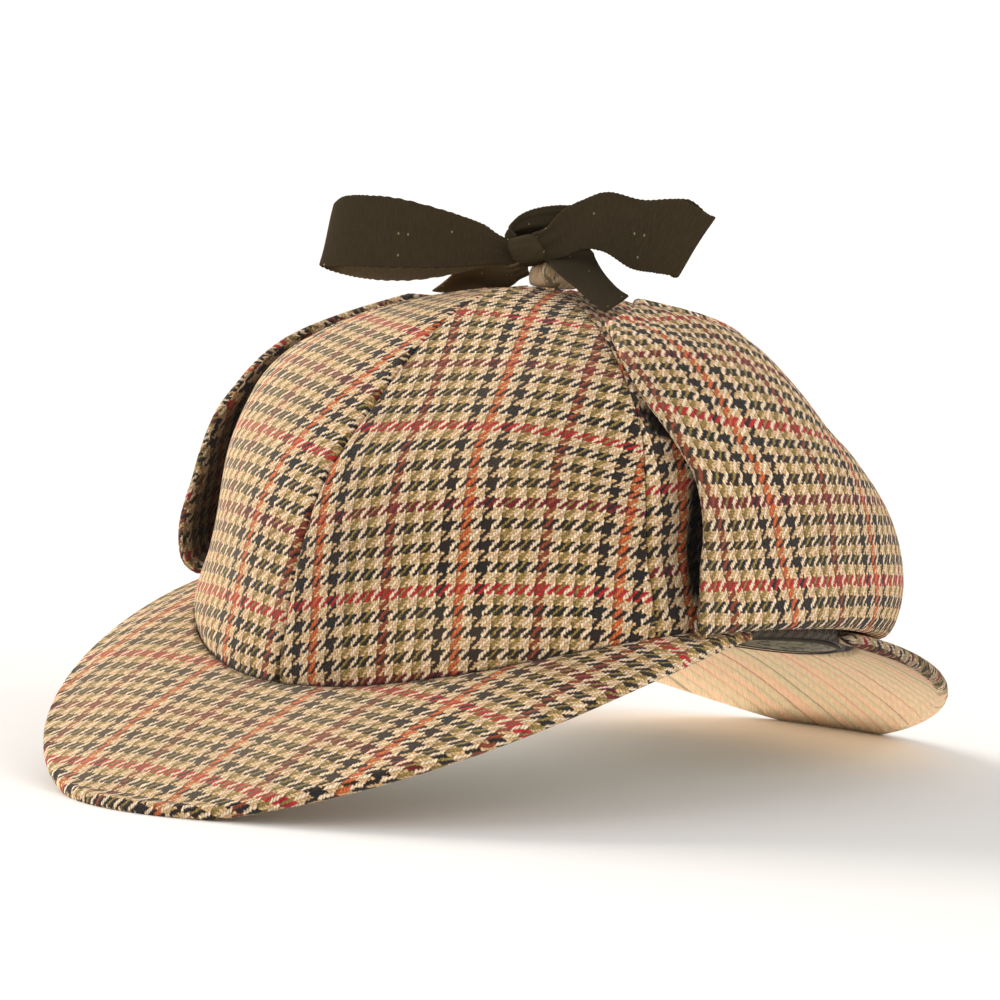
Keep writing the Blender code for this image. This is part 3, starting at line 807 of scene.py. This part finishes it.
# ---------------- crown
def seam_phi(index, theta):
    up = np.sin(np.radians(theta))
    return SEAMS_AT_BASE[index] * (1 - up) + SEAMS_AT_TOP[index] * up


def flap_front(theta):
    """phi of the left flap's front edge."""
    return column([(row[2], row[1]) for row in LEFT_FLAP_ROWS[2:]], 1, np.clip(theta, 2, 62.5))


def hollow(phi, theta):
    """Where the crown drops away behind the left flap's front edge, from 0 to 1."""
    past = phi - flap_front(theta)
    low = smooth((past - 1.3) / 1.4) * smooth((theta - 4.5) / 3) * smooth((29.5 - theta) / 3)
    high = smooth((past + 1.8) / 1.4) * smooth((theta - 35.8) / 1.5) * smooth((45 - theta) / 2.5)
    inside = smooth((phi - seam_phi(1, theta) - 0.3) / 0.8) * smooth((116 - phi) / 16)
    return np.maximum(low, high) * inside


def crown_relief(phi, theta, from_edge, height):
    """How far the cloth stands off the plain dome, in mm. from_edge is in mm to the nearest seam, and
    height in mm above the base line."""
    # The seams lie in grooves with soft ridges beside them, and the cloth swells over the base line.
    relief = -0.8 * bump(from_edge, 0.7) + 0.3 * bump(from_edge - 3.0, 2.2)
    relief += 1.0 * smooth((height + 1) / 5) * smooth((17 - height) / 12) + 0.25 * bump(height, 3)
    relief += 0.45 * wander(phi / 16, theta / 14, 5)
    # A crease across the front gore, beside the seam to the side gore.
    crease = bump(theta - 30.5 - (phi - 55) * 0.02, 0.9) - 0.9 * bump(theta - 34, 2.5)
    relief -= 1.0 * crease * bump(phi - 57, 8)
    # Puckers of the side gore along that seam.
    beside = phi - seam_phi(1, theta)
    pucker = bump(beside - 4.5, 3.5) * smooth(theta / 4) * smooth((56 - theta) / 12)
    relief += pucker * 0.8 * np.sin(theta * 0.72 + 1.2 * np.sin(theta * 0.19))
    # The side gore swells beside the left flap's front edge, then drops behind it.
    past = phi - flap_front(theta)
    relief += 1.3 * bump(past + 4.2, 1.9) * smooth((theta - 2) / 6) * smooth((47 - theta) / 5)
    return relief - 2.6 * hollow(phi, theta)


def gore_phi(index, theta, share):
    left, right = seam_phi(index, theta), seam_phi(index + 1, theta)
    return left + (right - left) * share


def gore_painted_light_and_wear(index, phi, theta, height, deep):
    """How pale or dark a gore is, from a random wander and from painted light and shade: see
    tweed_material.
    """
    painted_light_and_wear = 0.12 * smooth(wander(phi / 9, theta / 9, 9) * 0.5)
    # Painted light: the right front gore is paler towards the wearer's right, where the key light comes
    # from.
    if index == RIGHT_FRONT:
        painted_light_and_wear = painted_light_and_wear + 0.3 * smooth((352 - phi) / 22)
    # The left front gore is a little darker near the front, below the top.
    if index == LEFT_FRONT:
        painted_light_and_wear = painted_light_and_wear - 0.1 * smooth((26 - phi) / 12) * smooth((52 - theta) / 12)
    # Painted shade: it is dark in the hollow, just above the binding, and low down under the left flap.
    edge = 0.92 * smooth(0.9 - height)
    under_flap = smooth((phi - flap_front(theta) - 2.2) / 1.4) * smooth((150 - phi) / 6)
    under_flap = 0.97 * under_flap * smooth((13 - height) / 4)
    return painted_light_and_wear - np.maximum(np.maximum(deep, edge), under_flap)


def gore(index):
    """One panel of the crown, with a short skirt below the base line."""
    shares = edged(46, 0.03)
    thetas = np.concatenate([[0, 0, 0, 0.5, 1.2, 2.2], np.linspace(3.5, GORE_TIP_THETA, 52)])
    theta = thetas[:, None] + 0 * shares
    drop = 0 * theta
    drop[0], drop[1] = SKIRT, SKIRT / 2
    phi = gore_phi(index, theta, shares)
    plain = crown_point(phi, theta, 0.0, drop)
    width = spans(plain, 1).sum(axis=1)[:, None] / MM
    # The seam between the left front and left side gores is pressed flatter.
    pressed = [SEAM_PRESSED if index == k else 0.0 for k in (LEFT_SIDE, LEFT_FRONT)]
    from_edge = np.minimum(shares * width + pressed[0], (1 - shares) * width + pressed[1])
    height = (running(spans(plain, 0)) - SKIRT) / MM
    relief = crown_relief(phi, theta, from_edge, height)
    deep = hollow(phi, theta) if index == LEFT_SIDE else 0 * phi
    outer, inner = (
        placed(crown_point(phi, theta, np.where(border(phi.shape), GORE_MIDDLE, out) * MM, drop))
        for out in (relief, GORE_INNER - 0.9 * deep)
    )

    def surface(level, share):
        at = level * GORE_TIP_THETA
        return crown_point(gore_phi(index, at, share), at)

    flat = flatten(surface, 0.5)(thetas / GORE_TIP_THETA, shares)
    flat[..., 1] -= drop
    weave = cut(flat, *GORE_CUTS[index])
    if index == LEFT_FRONT:
        weave = drawn(weave, FRONT_GORE_PULL, FRONT_GORE_WEFT)
    painted_light_and_wear = gore_painted_light_and_wear(index, phi, theta, height, deep)
    # Painted shade: the gore's inner side, under the lining, is dark.
    dark = np.full_like(painted_light_and_wear, -0.95)
    made = pillow(GORE_NAMES[index], (outer, weave, painted_light_and_wear), (inner, weave, dark))


def lining():
    """A satin dome inside the gores, with soft folds towards its lower edge."""
    depth = (CROWN_WALL + LINING_GAP) / MM + 0.1
    thetas = np.concatenate([[0, 0, 0], np.linspace(1.5, 90, 60)])
    theta, phi = np.meshgrid(thetas, np.linspace(0, 360, 217), indexing="ij")
    drop = 0 * theta
    drop[0], drop[1] = SKIRT, SKIRT * 0.6
    angle = np.radians(phi)
    folds = np.sin(angle * 23 + 2 * np.sin(angle * 5) + theta / 7) * 0.6
    folds += np.sin(angle * 41 + theta / 4) * 0.3
    sag = np.maximum(0.9 + bump(theta, 26) * folds, 0) * smooth(theta / 5)
    walls = (0, LINING_CLOTH)
    outer, inner = (crown_point(phi, theta, -(depth + sag + wall) * MM, drop) for wall in walls)
    grid = placed(np.concatenate([outer, inner[::-1], outer[:1]]))
    # In mm of cloth, for a radian round the head and for a degree up.
    flat = np.stack([angle * 92, theta * 1.6 - drop / MM], -1)
    weave = np.concatenate([flat, flat[::-1], flat[:1]])
    halves = slice(None, len(thetas)), slice(len(thetas) - 1, None)
    patches = [(grid[half], weave[half], 0.0, bake) for half, bake in zip(halves, LINING_BAKES)]
    made = make("lining", patches, "satin")


def rim_binding():
    """A thin roll along the lower edge, slimmer at the back."""
    depth = (CROWN_WALL + LINING_GAP + LINING_WALL + 2 * GAP) / MM
    phis = np.linspace(0, 360, 289)
    slim = 1 - 0.7 * smooth(1.6 - np.abs(phis - 180) / 40)
    grid = np.stack(
        [
            crown_point(phis, 0, (-depth - out * slim) * MM, (BINDING_LEVEL + below * slim) * MM)
            for out, below in zip(BINDING_OUT, np.array(BINDING_DROP) - BINDING_LEVEL)
        ]
    )
    run = running(spans(grid, 0).mean(axis=1)) / MM
    weave = np.stack(np.meshgrid(np.radians(phis) * 88, run), -1)
    make("rim_binding", [(*turned(placed(grid), weave), 0.0, WHOLE_BAKE)], "binding")


# ---------------- peaks
def from_middle(share):
    return np.sqrt(share * share + 0.05**2) - 0.05


def peak_width(shape, share):
    inner, outer = shape["taper"]
    return shape["width"] * (1 - from_middle(share) ** inner) ** outer


def peak_middle(shape, share, along):
    """Points of the peak's middle surface, placed on the floor, and the same points laid flat."""
    phi = np.radians(shape["middle"] + shape["reach"] * share)
    root = base_point(phi)
    step = 0.001
    tangent = base_point(phi + step) - base_point(phi - step)
    outward = unit(np.stack([tangent[..., 1], -tangent[..., 0], 0 * phi], -1))
    width = peak_width(shape, share)
    first, steep, last = shape["slopes"]
    end = np.where(share > 0, last, first)
    slope = np.radians(steep + (end - steep) * from_middle(share))
    part = along / width
    camber = PEAK_CAMBER * 4 * part * (1 - part) * width / shape["width"]
    point = root + outward * (GAP + along * np.cos(slope))[..., None]
    point[..., 2] += camber - along * np.sin(slope) - PEAK_WALL / 2
    point = placed(point)
    rest = PEAK_WALL / 2 - SQUASH
    over = point[..., 2] - rest
    point[..., 2] = rest + (over + np.sqrt(over * over + SETTLE * SETTLE)) / 2
    return point, (root + outward * along[..., None])[..., :2]


def peak_surface(shape, share, run, angle):
    """Points at a share of the flat part. Where that is one, the angle runs round the rim from 0 on the
    top to half a turn on the underside. Also the same points laid flat."""
    half = PEAK_WALL / 2
    side = 1 if angle < math.pi / 2 else -1
    angle = min(angle, math.pi - angle)
    width = peak_width(shape, share)
    flat_run = np.maximum(width - half, width * 0.4)
    along = flat_run * run + (width - flat_run) * np.sin(angle)
    here, flat = peak_middle(shape, share, along)
    ahead, behind = (peak_middle(shape, share, along + step)[0] for step in (0.2 * MM, -0.2 * MM))
    right = peak_middle(shape, np.minimum(share + 0.002, 1), along)[0]
    left = peak_middle(shape, np.maximum(share - 0.002, -1), along)[0]
    normal = unit(np.cross(right - left, ahead - behind))
    normal = np.where(normal[..., 2:] < 0, -normal, normal)
    lean = np.minimum(along / (3 * half), 1)[..., None]
    normal = unit(np.array([0.0, 0.0, 1.0]) * (1 - lean) + normal * lean)
    # The rolled rim is a little thicker than the peak, with a shallow channel inside it.
    inward = (width - along) / MM
    roll = (0.2 * bump(inward - 1.5, 2.2) - 0.15 * bump(inward - 6.0, 1.3)) * smooth(width / (14 * MM))
    soft = 0.15 * wander(share * 14, along / (9 * MM), 11) * smooth(inward / 12)
    thin = np.minimum(np.sqrt(width / (7 * MM)), 1)
    thick = (half + (roll + soft) * MM) * math.cos(angle) * thin
    if side < 0:
        thick = thick - 0.15 * MM * math.cos(angle)
    return here + normal * (side * thick)[..., None], flat


def peak(name, top_paleness, under_tone, stretch, cut_top, cut_under):
    """stretch is how much longer the top's cloth was pulled. The underside is paler up to one, and above
    one it shows the reverse, whose pale ground is partly painted light.
    """
    shape = PEAKS[name]
    t = np.linspace(-1, 1, 151)
    share = (0.6 * t + 0.4 * np.sin(t * math.pi / 2)) * 0.999
    steps = np.linspace(0, 1, 34) ** 0.9
    top, top_flat = map(list, zip(*(peak_surface(shape, share, run, 0.0) for run in steps)))
    rim_flat = top_flat[-1]
    outward = unit(rim_flat - top_flat[-2])
    round_rim = 0.0
    for angle in np.linspace(0, 1, 11)[1:] * math.pi:
        points, _ = peak_surface(shape, share, 1.0, angle)
        round_rim = round_rim + np.linalg.norm(points - top[-1], axis=1)[:, None]
        top.append(points)
        top_flat.append(rim_flat + outward * round_rim)
    under, under_flat = [top[-1]], [rim_flat]
    for run in steps[-2::-1]:
        points, flat = peak_surface(shape, share, run, math.pi)
        under.append(points)
        under_flat.append(flat)
    ends = (top[0] + under[-1]) / 2
    under.append(top[0])
    under_flat.append(under_flat[-1])
    top, top_flat, under, under_flat = (np.stack(rows) for rows in (top, top_flat, under, under_flat))
    # Both ends close in a point.
    for grid in (top, under):
        grid[:, 0], grid[:, -1] = ends[0], ends[-1]
        grid[..., 2] = np.maximum(grid[..., 2], 0)
    top_flat = top_flat * [1, 1 / stretch]
    # The top is paler towards one end, with a soft wander, but not on the rolled rim.
    painted_light_and_wear = top_paleness * smooth(0.75 - 0.7 * share + 0.3 * wander(share * 9, top[..., 2] * 90, 13))
    past_top = np.arange(len(top))[:, None] - len(steps)
    painted_light_and_wear = painted_light_and_wear * smooth(-past_top / 4)
    if under_tone > 1:
        # The rolled rim shows the reverse below, except at the wearer's left, where the tweed is darkened
        # with painted shade.
        back = smooth((share + 0.6) / 0.12)
        painted_light_and_wear = painted_light_and_wear + under_tone * smooth((past_top - 4) / 2) * back
        painted_light_and_wear = painted_light_and_wear - 0.5 * smooth((past_top + 3) / 3) * (1 - back)
    top_weave, under_weave = cut(top_flat, *cut_top), cut(under_flat * [-1, 1], *cut_under)
    patches = [
        (*turned(top, top_weave, painted_light_and_wear), TOP_BAKE),
        (*turned(under, under_weave), under_tone, UNDER_BAKE),
    ]
    make(name, patches)


# ---------------- ear flaps
def flap_middle(rows, level, across):
    level = np.clip(level, 0, 1)
    front_phi, front_theta, back_phi, back_theta, off = (column(rows, k, level) for k in range(1, 6))
    phi = front_phi + (back_phi - front_phi) * across
    theta = front_theta + (back_theta - front_theta) * across
    return crown_point(phi, theta, off * MM)


def ear_flap(name, rows, cut_out, cut_in):
    """A flap folded up over the crown."""
    right_side = rows[0][1] < 0
    near_tip = [0.93, 0.955, 0.972, 0.984, 0.993, 0.998, 1]
    levels = np.concatenate([[0, 0.004, 0.012, 0.024], np.linspace(0.04, 0.9, 60), near_tip])
    shares = edged(54, 0.022)
    level, across = np.meshgrid(levels, shares, indexing="ij")
    here = flap_middle(rows, level, across)
    up = flap_middle(rows, level + 0.004, across) - flap_middle(rows, level - 0.004, across)
    aside = flap_middle(rows, level, across + 0.01) - flap_middle(rows, level, across - 0.01)
    normal = unit(np.cross(aside, up)) * (-1 if right_side else 1)
    width = spans(here, 1).sum(axis=1)[:, None] / MM
    tall = spans(here, 0).sum(axis=0) / MM
    from_side, from_tip = np.minimum(across, 1 - across) * width, (1 - level) * tall
    inward = np.minimum(from_side, from_tip)
    inward = np.minimum(inward, np.where(level < 0.02, level * tall, 99))
    round_off = rounded(inward, FLAP_EDGE)
    roll = 0.35 * bump(inward - 2.2, 2.0) - 0.3 * bump(inward - 6.0, 1.6)
    soft = 0.5 * wander(across * 7, level * 6, 21 + right_side) * smooth(inward / 10)
    half = FLAP_WALL / 2 / MM
    outer, inner = (
        here + normal * ((out * round_off + soft) * MM)[..., None] for out in (half + roll, -half)
    )
    rim = border(level.shape)
    outer[rim] = inner[rim] = (outer[rim] + inner[rim]) / 2
    flat = flatten(lambda a, b: flap_middle(rows, a, b), 0.5 * right_side)(levels, shares)
    cloth = flat.copy()
    # Round the edges the cloth is longer than its middle surface.
    beyond = 1 - np.minimum(inward / FLAP_EDGE, 1)
    excess = FLAP_EDGE * (np.arcsin(beyond) - beyond) * MM
    flat[..., 0] += excess * np.where(across < 0.5, -1, 1) * (from_side < FLAP_EDGE)
    flat[..., 1] += excess * (from_tip < FLAP_EDGE)
    if right_side:
        flat[..., 0] *= -1
    weave = cut(flat, *cut_out)
    if not right_side:
        weave = drawn(weave, FLAP_PULL, FLAP_WEFT)
    back_weave = cut(flat * [-1, 1], *cut_in)
    # The outer side is a little paler near its edge. Painted shade darkens the right flap's edge and the
    # left flap's bottom fold.
    painted_light_and_wear = 0.10 * bump(inward - 1.0, 1.6) * (inward < 6) - 0.4 * right_side * bump(inward, 4)
    painted_light_and_wear = painted_light_and_wear - 0.5 * bump(level * tall - 0.5, 1.6) * (1 - right_side)
    # Painted shade: the inner side, between the flap and the crown, is dark away from its edge, and the
    # right flap's a little dark all over.
    dark = painted_light_and_wear - 0.45 * right_side - (0.85 - 0.45 * right_side) * smooth((inward - 2.6) / 1.6)
    sides = (placed(outer), weave, painted_light_and_wear), (placed(inner), back_weave, dark)
    if right_side:
        sides = [turned(*side) for side in sides]
    pillow(name, *sides)


# ---------------- button
def button():
    """A round of gathered tweed over the place where the gores meet."""
    seat = crown_point(0, 90)[2] / MM + 0.1
    angles = np.linspace(0, 2 * math.pi, 97)
    knots = list(zip(range(len(BUTTON_OUT)), BUTTON_OUT, BUTTON_UP))
    at = np.linspace(0, len(knots) - 1, 45)
    radius, height = column(knots, 1, at)[:, None], column(knots, 2, at)[:, None]
    fold = 1 + 0.09 * np.sin(angles * 5 + 2.4 * height) * smooth(height * 1.3)
    r = BUTTON_RADIUS / MM * np.maximum(radius, 0) * fold
    dent = 1 + 0.05 * np.sin(angles * 9 + 1) * smooth(radius * 2)
    z = seat + BUTTON_RISE / MM * np.maximum(height, 0) * dent
    x, y = r * np.cos(angles), r * np.sin(angles)
    grid = placed(np.stack([x * MM + APEX[0], y * MM + APEX[1], z * MM], -1))
    weave = cut(np.stack([x, y], -1) * MM * (1.0 + 0.9 * height[..., None]), 4, 2)
    # The gathered cloth shows its pale reverse in swirls; the paleness is partly painted light.
    painted_light_and_wear = 1.5 + 0.8 * np.sin(angles * 3 + 4 * height)
    make("top_button", [(grid, weave, painted_light_and_wear, WHOLE_BAKE)])


# ---------------- ribbon
def bow_point(points):
    """From the bow's frame to the hat's own."""
    along, aside, up = points[..., 0], points[..., 1], points[..., 2]
    c, s = math.cos(BOW_TURN), math.sin(BOW_TURN)
    x = along * c + aside * s + BOW_ORIGIN[0]
    y = along * s - aside * c + BOW_ORIGIN[1]
    return np.stack([x, y, up + BOW_ORIGIN[2]], -1)


def hat_point(points):
    """The straps' rows are in the hat's own frame already."""
    return points


def ribbon(name, rows, to_hat, pleats, tone):
    """A ribbon through its rows. pleats is how strongly it is gathered where it narrows, in mm. tone gives
    the cloth's painted light and shade from the run's share and the share across."""
    flat_width = RIBBON_WIDTH / MM
    knots = [(i, *row) for i, row in enumerate(rows)]
    last = len(rows) - 1
    at = np.linspace(0, last, 14 * last + 1)
    shares = edged(27, 0.02) - 0.5

    def middle(place):
        place = np.clip(place, 0, last)
        return to_hat(np.stack([column(knots, k, place) for k in (1, 2, 3)], -1) * MM)

    width = column(knots, 4, at)[:, None]
    turn, rise = np.radians(column(knots, 5, at)), np.radians(column(knots, 6, at))
    across = np.stack([np.cos(turn) * np.cos(rise), -np.sin(turn) * np.cos(rise), np.sin(rise)], -1)
    across = to_hat(across) - to_hat(np.zeros(3))
    normal = unit(np.cross(middle(at + 0.02) - middle(at - 0.02), across))
    run = running(spans(middle(at), 0))[:, None] / MM
    tight = smooth((flat_width - 4 - width) / 12)
    wave = np.sin(2 * math.pi * (2.6 * shares + 0.15 * np.sin(run / 9)))
    wave = wave * 0.75 + 0.35 * np.sin(2 * math.pi * 5.3 * shares + 1.1)
    lift = pleats * tight * wave * np.cos(shares * math.pi) ** 0.5
    lift = lift + 0.3 * (1 - tight) * wander(run / 6, shares * 3, 31)
    # The selvedge is finely toothed.
    teeth = 0.11 * np.sign(np.sin(run * 2 * math.pi / 1.3)) * (np.abs(shares) > 0.495)
    reach = shares * width + teeth * np.sign(shares)
    body = middle(at)[:, None] + across[:, None] * (reach * MM)[..., None]
    body = body + normal[:, None] * (lift * MM)[..., None]
    inward = np.minimum((0.5 - np.abs(shares)) * width, np.minimum(run, run[-1] - run))
    radius = RIBBON_WALL / 2 / MM
    thick = normal[:, None] * (radius * rounded(inward, radius) * MM)[..., None]
    flat = np.stack(np.broadcast_arrays(shares * flat_width, run), -1)
    painted_light_and_wear = tone(run / run[-1], shares) + 0 * reach
    # Rows of the patch run across the ribbon, so that its first side faces along the normal.
    sides = [
        [np.swapaxes(grid, 0, 1) for grid in (placed(points), flat, painted_light_and_wear)]
        for points in (body + thick, body - thick)
    ]
    made = pillow(name, *sides, "ribbon")


def painted_light_strip(run, share):
    """Painted light: the lower strip of the left loop's back layer is brighter."""
    return 1.7 * smooth((run - 0.52) / 0.05) * smooth((-share - 0.2) / 0.1)


def painted_shade_arch(run, share):
    """Painted shade: the right loop's arch over the knot is dark inside."""
    return -0.75 * smooth((run - 0.82) / 0.05) * smooth((-share - 0.08) / 0.15)


def knot():
    """The bow's knot: a soft slanted block with rounded corners and a few shallow folds."""
    polar = np.linspace(0, math.pi, 49)[:, None]
    angle = np.linspace(0, 2 * math.pi, 65)

    def swell(value, power):
        return np.sign(value) * np.abs(value) ** power

    first = swell(np.cos(polar), 0.5) + 0 * angle
    ring = swell(np.sin(polar), 0.5)
    second = ring * swell(np.sin(angle), 0.6)
    fold = 1 + 0.06 * np.cos(first * 5 + second) + 0.04 * np.cos(second * 7 - first)
    along, up = (
        middle + long * first + short * second for middle, long, short in zip(KNOT_MIDDLE, *KNOT_AXES)
    )
    aside = KNOT_HALF_DEPTH * ring * swell(np.cos(angle), 0.8) * fold
    grid = placed(bow_point(np.stack([along, aside, up], -1) * MM))
    flat = np.stack([first * 7, angle * 5 + 0 * first], -1)
    make("bow_knot", [(grid, flat, 0.1, WHOLE_BAKE)], "ribbon")


# ---------------- the hat
for number in range(len(GORE_NAMES)):
    gore(number)
lining()
rim_binding()
peak("front_peak", top_paleness=0.3, under_tone=0.3, stretch=1.156, cut_top=(44.5, 52.2), cut_under=(40, 27))
peak("back_peak", top_paleness=0.1, under_tone=2.0, stretch=1.0, cut_top=(30, 9), cut_under=(7, 50, 15))
ear_flap("ear_flap_left", LEFT_FLAP_ROWS, cut_out=(0, 0), cut_in=(11, 37))
ear_flap("ear_flap_right", RIGHT_FLAP_ROWS, cut_out=(50, 19), cut_in=(29, 44))
button()
knot()
ribbon("bow_loop_left", LEFT_LOOP_ROWS, bow_point, pleats=0.28, tone=painted_light_strip)
ribbon("bow_loop_right", RIGHT_LOOP_ROWS, bow_point, pleats=0.28, tone=painted_shade_arch)
# Painted shade darkens the left strap a little, and painted light brightens the right one.
ribbon("tie_strap_left", LEFT_STRAP_ROWS, hat_point, pleats=0.5, tone=lambda run, share: -0.2)
ribbon("tie_strap_right", RIGHT_STRAP_ROWS, hat_point, pleats=0.5, tone=lambda run, share: 1.5)


# ---------------- floor, light and camera
def towards(azimuth, elevation):
    """From the hat to a lamp or camera, by its azimuth from the hat's front and elevation in degrees."""
    a, e = math.radians(azimuth), math.radians(elevation)
    return Vector((math.sin(a) * math.cos(e), -math.cos(a) * math.cos(e), math.sin(e)))


def floor():
    corners = np.linspace(0, 2 * math.pi, FLOOR_CORNERS + 1)[:-1]
    points = [(FLOOR_RADIUS * math.cos(a), FLOOR_RADIUS * math.sin(a), 0) for a in corners]
    mesh = bpy.data.meshes.new("floor")
    mesh.from_pydata(points, [], [list(range(FLOOR_CORNERS))])
    n = Nodes("floor_paper")
    spots = n.noise(n.node("ShaderNodeTexCoord", {})["Object"], 3.0, 2.0)
    paper = n.mix(spots, (0.86, 0.855, 0.845, 1), (0.9, 0.895, 0.885, 1))
    n.finish(paper, roughness=0.95, specular=0.1)
    mesh.materials.append(n.material)
    linked("floor", mesh)


def sun(name, energy, disc, azimuth, elevation, colour):
    """A wide sun, so that the floor is lit evenly. disc is how wide it looks, in degrees."""
    data = bpy.data.lights.new(name, "SUN")
    data.energy = energy
    data.angle = math.radians(disc)
    data.color = colour
    linked(name, data).rotation_euler = towards(azimuth, elevation).to_track_quat("Z", "Y").to_euler()


def bounce():
    """A small soft lamp on the floor under the hat, for the light that a bright table throws up there."""
    data = bpy.data.lights.new("bounce_light", "AREA")
    data.shape = "RECTANGLE"
    data.size, data.size_y = 0.15, 0.07
    data.energy = 0.03
    data.color = (1.0, 0.95, 0.9)
    made = linked("bounce_light", data)
    made.location = (0.005, 0.108, 0.0006)
    made.rotation_euler = (math.pi, 0, 0)
    made.visible_camera = False


def camera():
    azimuth, elevation, roll = CAMERA_ANGLES
    direction = towards(azimuth, elevation)
    right = Vector((math.cos(math.radians(azimuth)), math.sin(math.radians(azimuth)), 0))
    up = direction.cross(right)
    c, s = math.cos(math.radians(roll)), math.sin(math.radians(roll))
    axes = Matrix((right * c - up * s, right * s + up * c, direction)).transposed().to_4x4()
    axes.translation = Vector((*HAT_CENTRE, HAT_LIFT + CAMERA_AIM)) + direction * CAMERA_DISTANCE
    data = bpy.data.cameras.new("camera")
    data.sensor_width = 36
    data.lens = CAMERA_LENS
    data.shift_x, data.shift_y = CAMERA_SHIFT
    data.clip_end = 200
    made = linked("camera", data)
    made.matrix_world = axes
    bpy.context.scene.camera = made


def studio():
    """Plain pale light from all round."""
    world = bpy.data.worlds.new("studio")
    bpy.context.scene.world = world
    world.use_nodes = True
    background = world.node_tree.nodes["Background"]
    background.inputs["Color"].default_value = (1.0, 0.985, 0.96, 1)
    background.inputs["Strength"].default_value = 0.72
    bpy.context.scene.view_settings.view_transform = "Standard"


floor()
sun("key_light", energy=4.2, disc=50, azimuth=-85, elevation=18, colour=(1.0, 0.945, 0.88))
sun("fill_light", energy=1.1, disc=60, azimuth=100, elevation=22, colour=(1.0, 0.955, 0.9))
bounce()
camera()
studio()
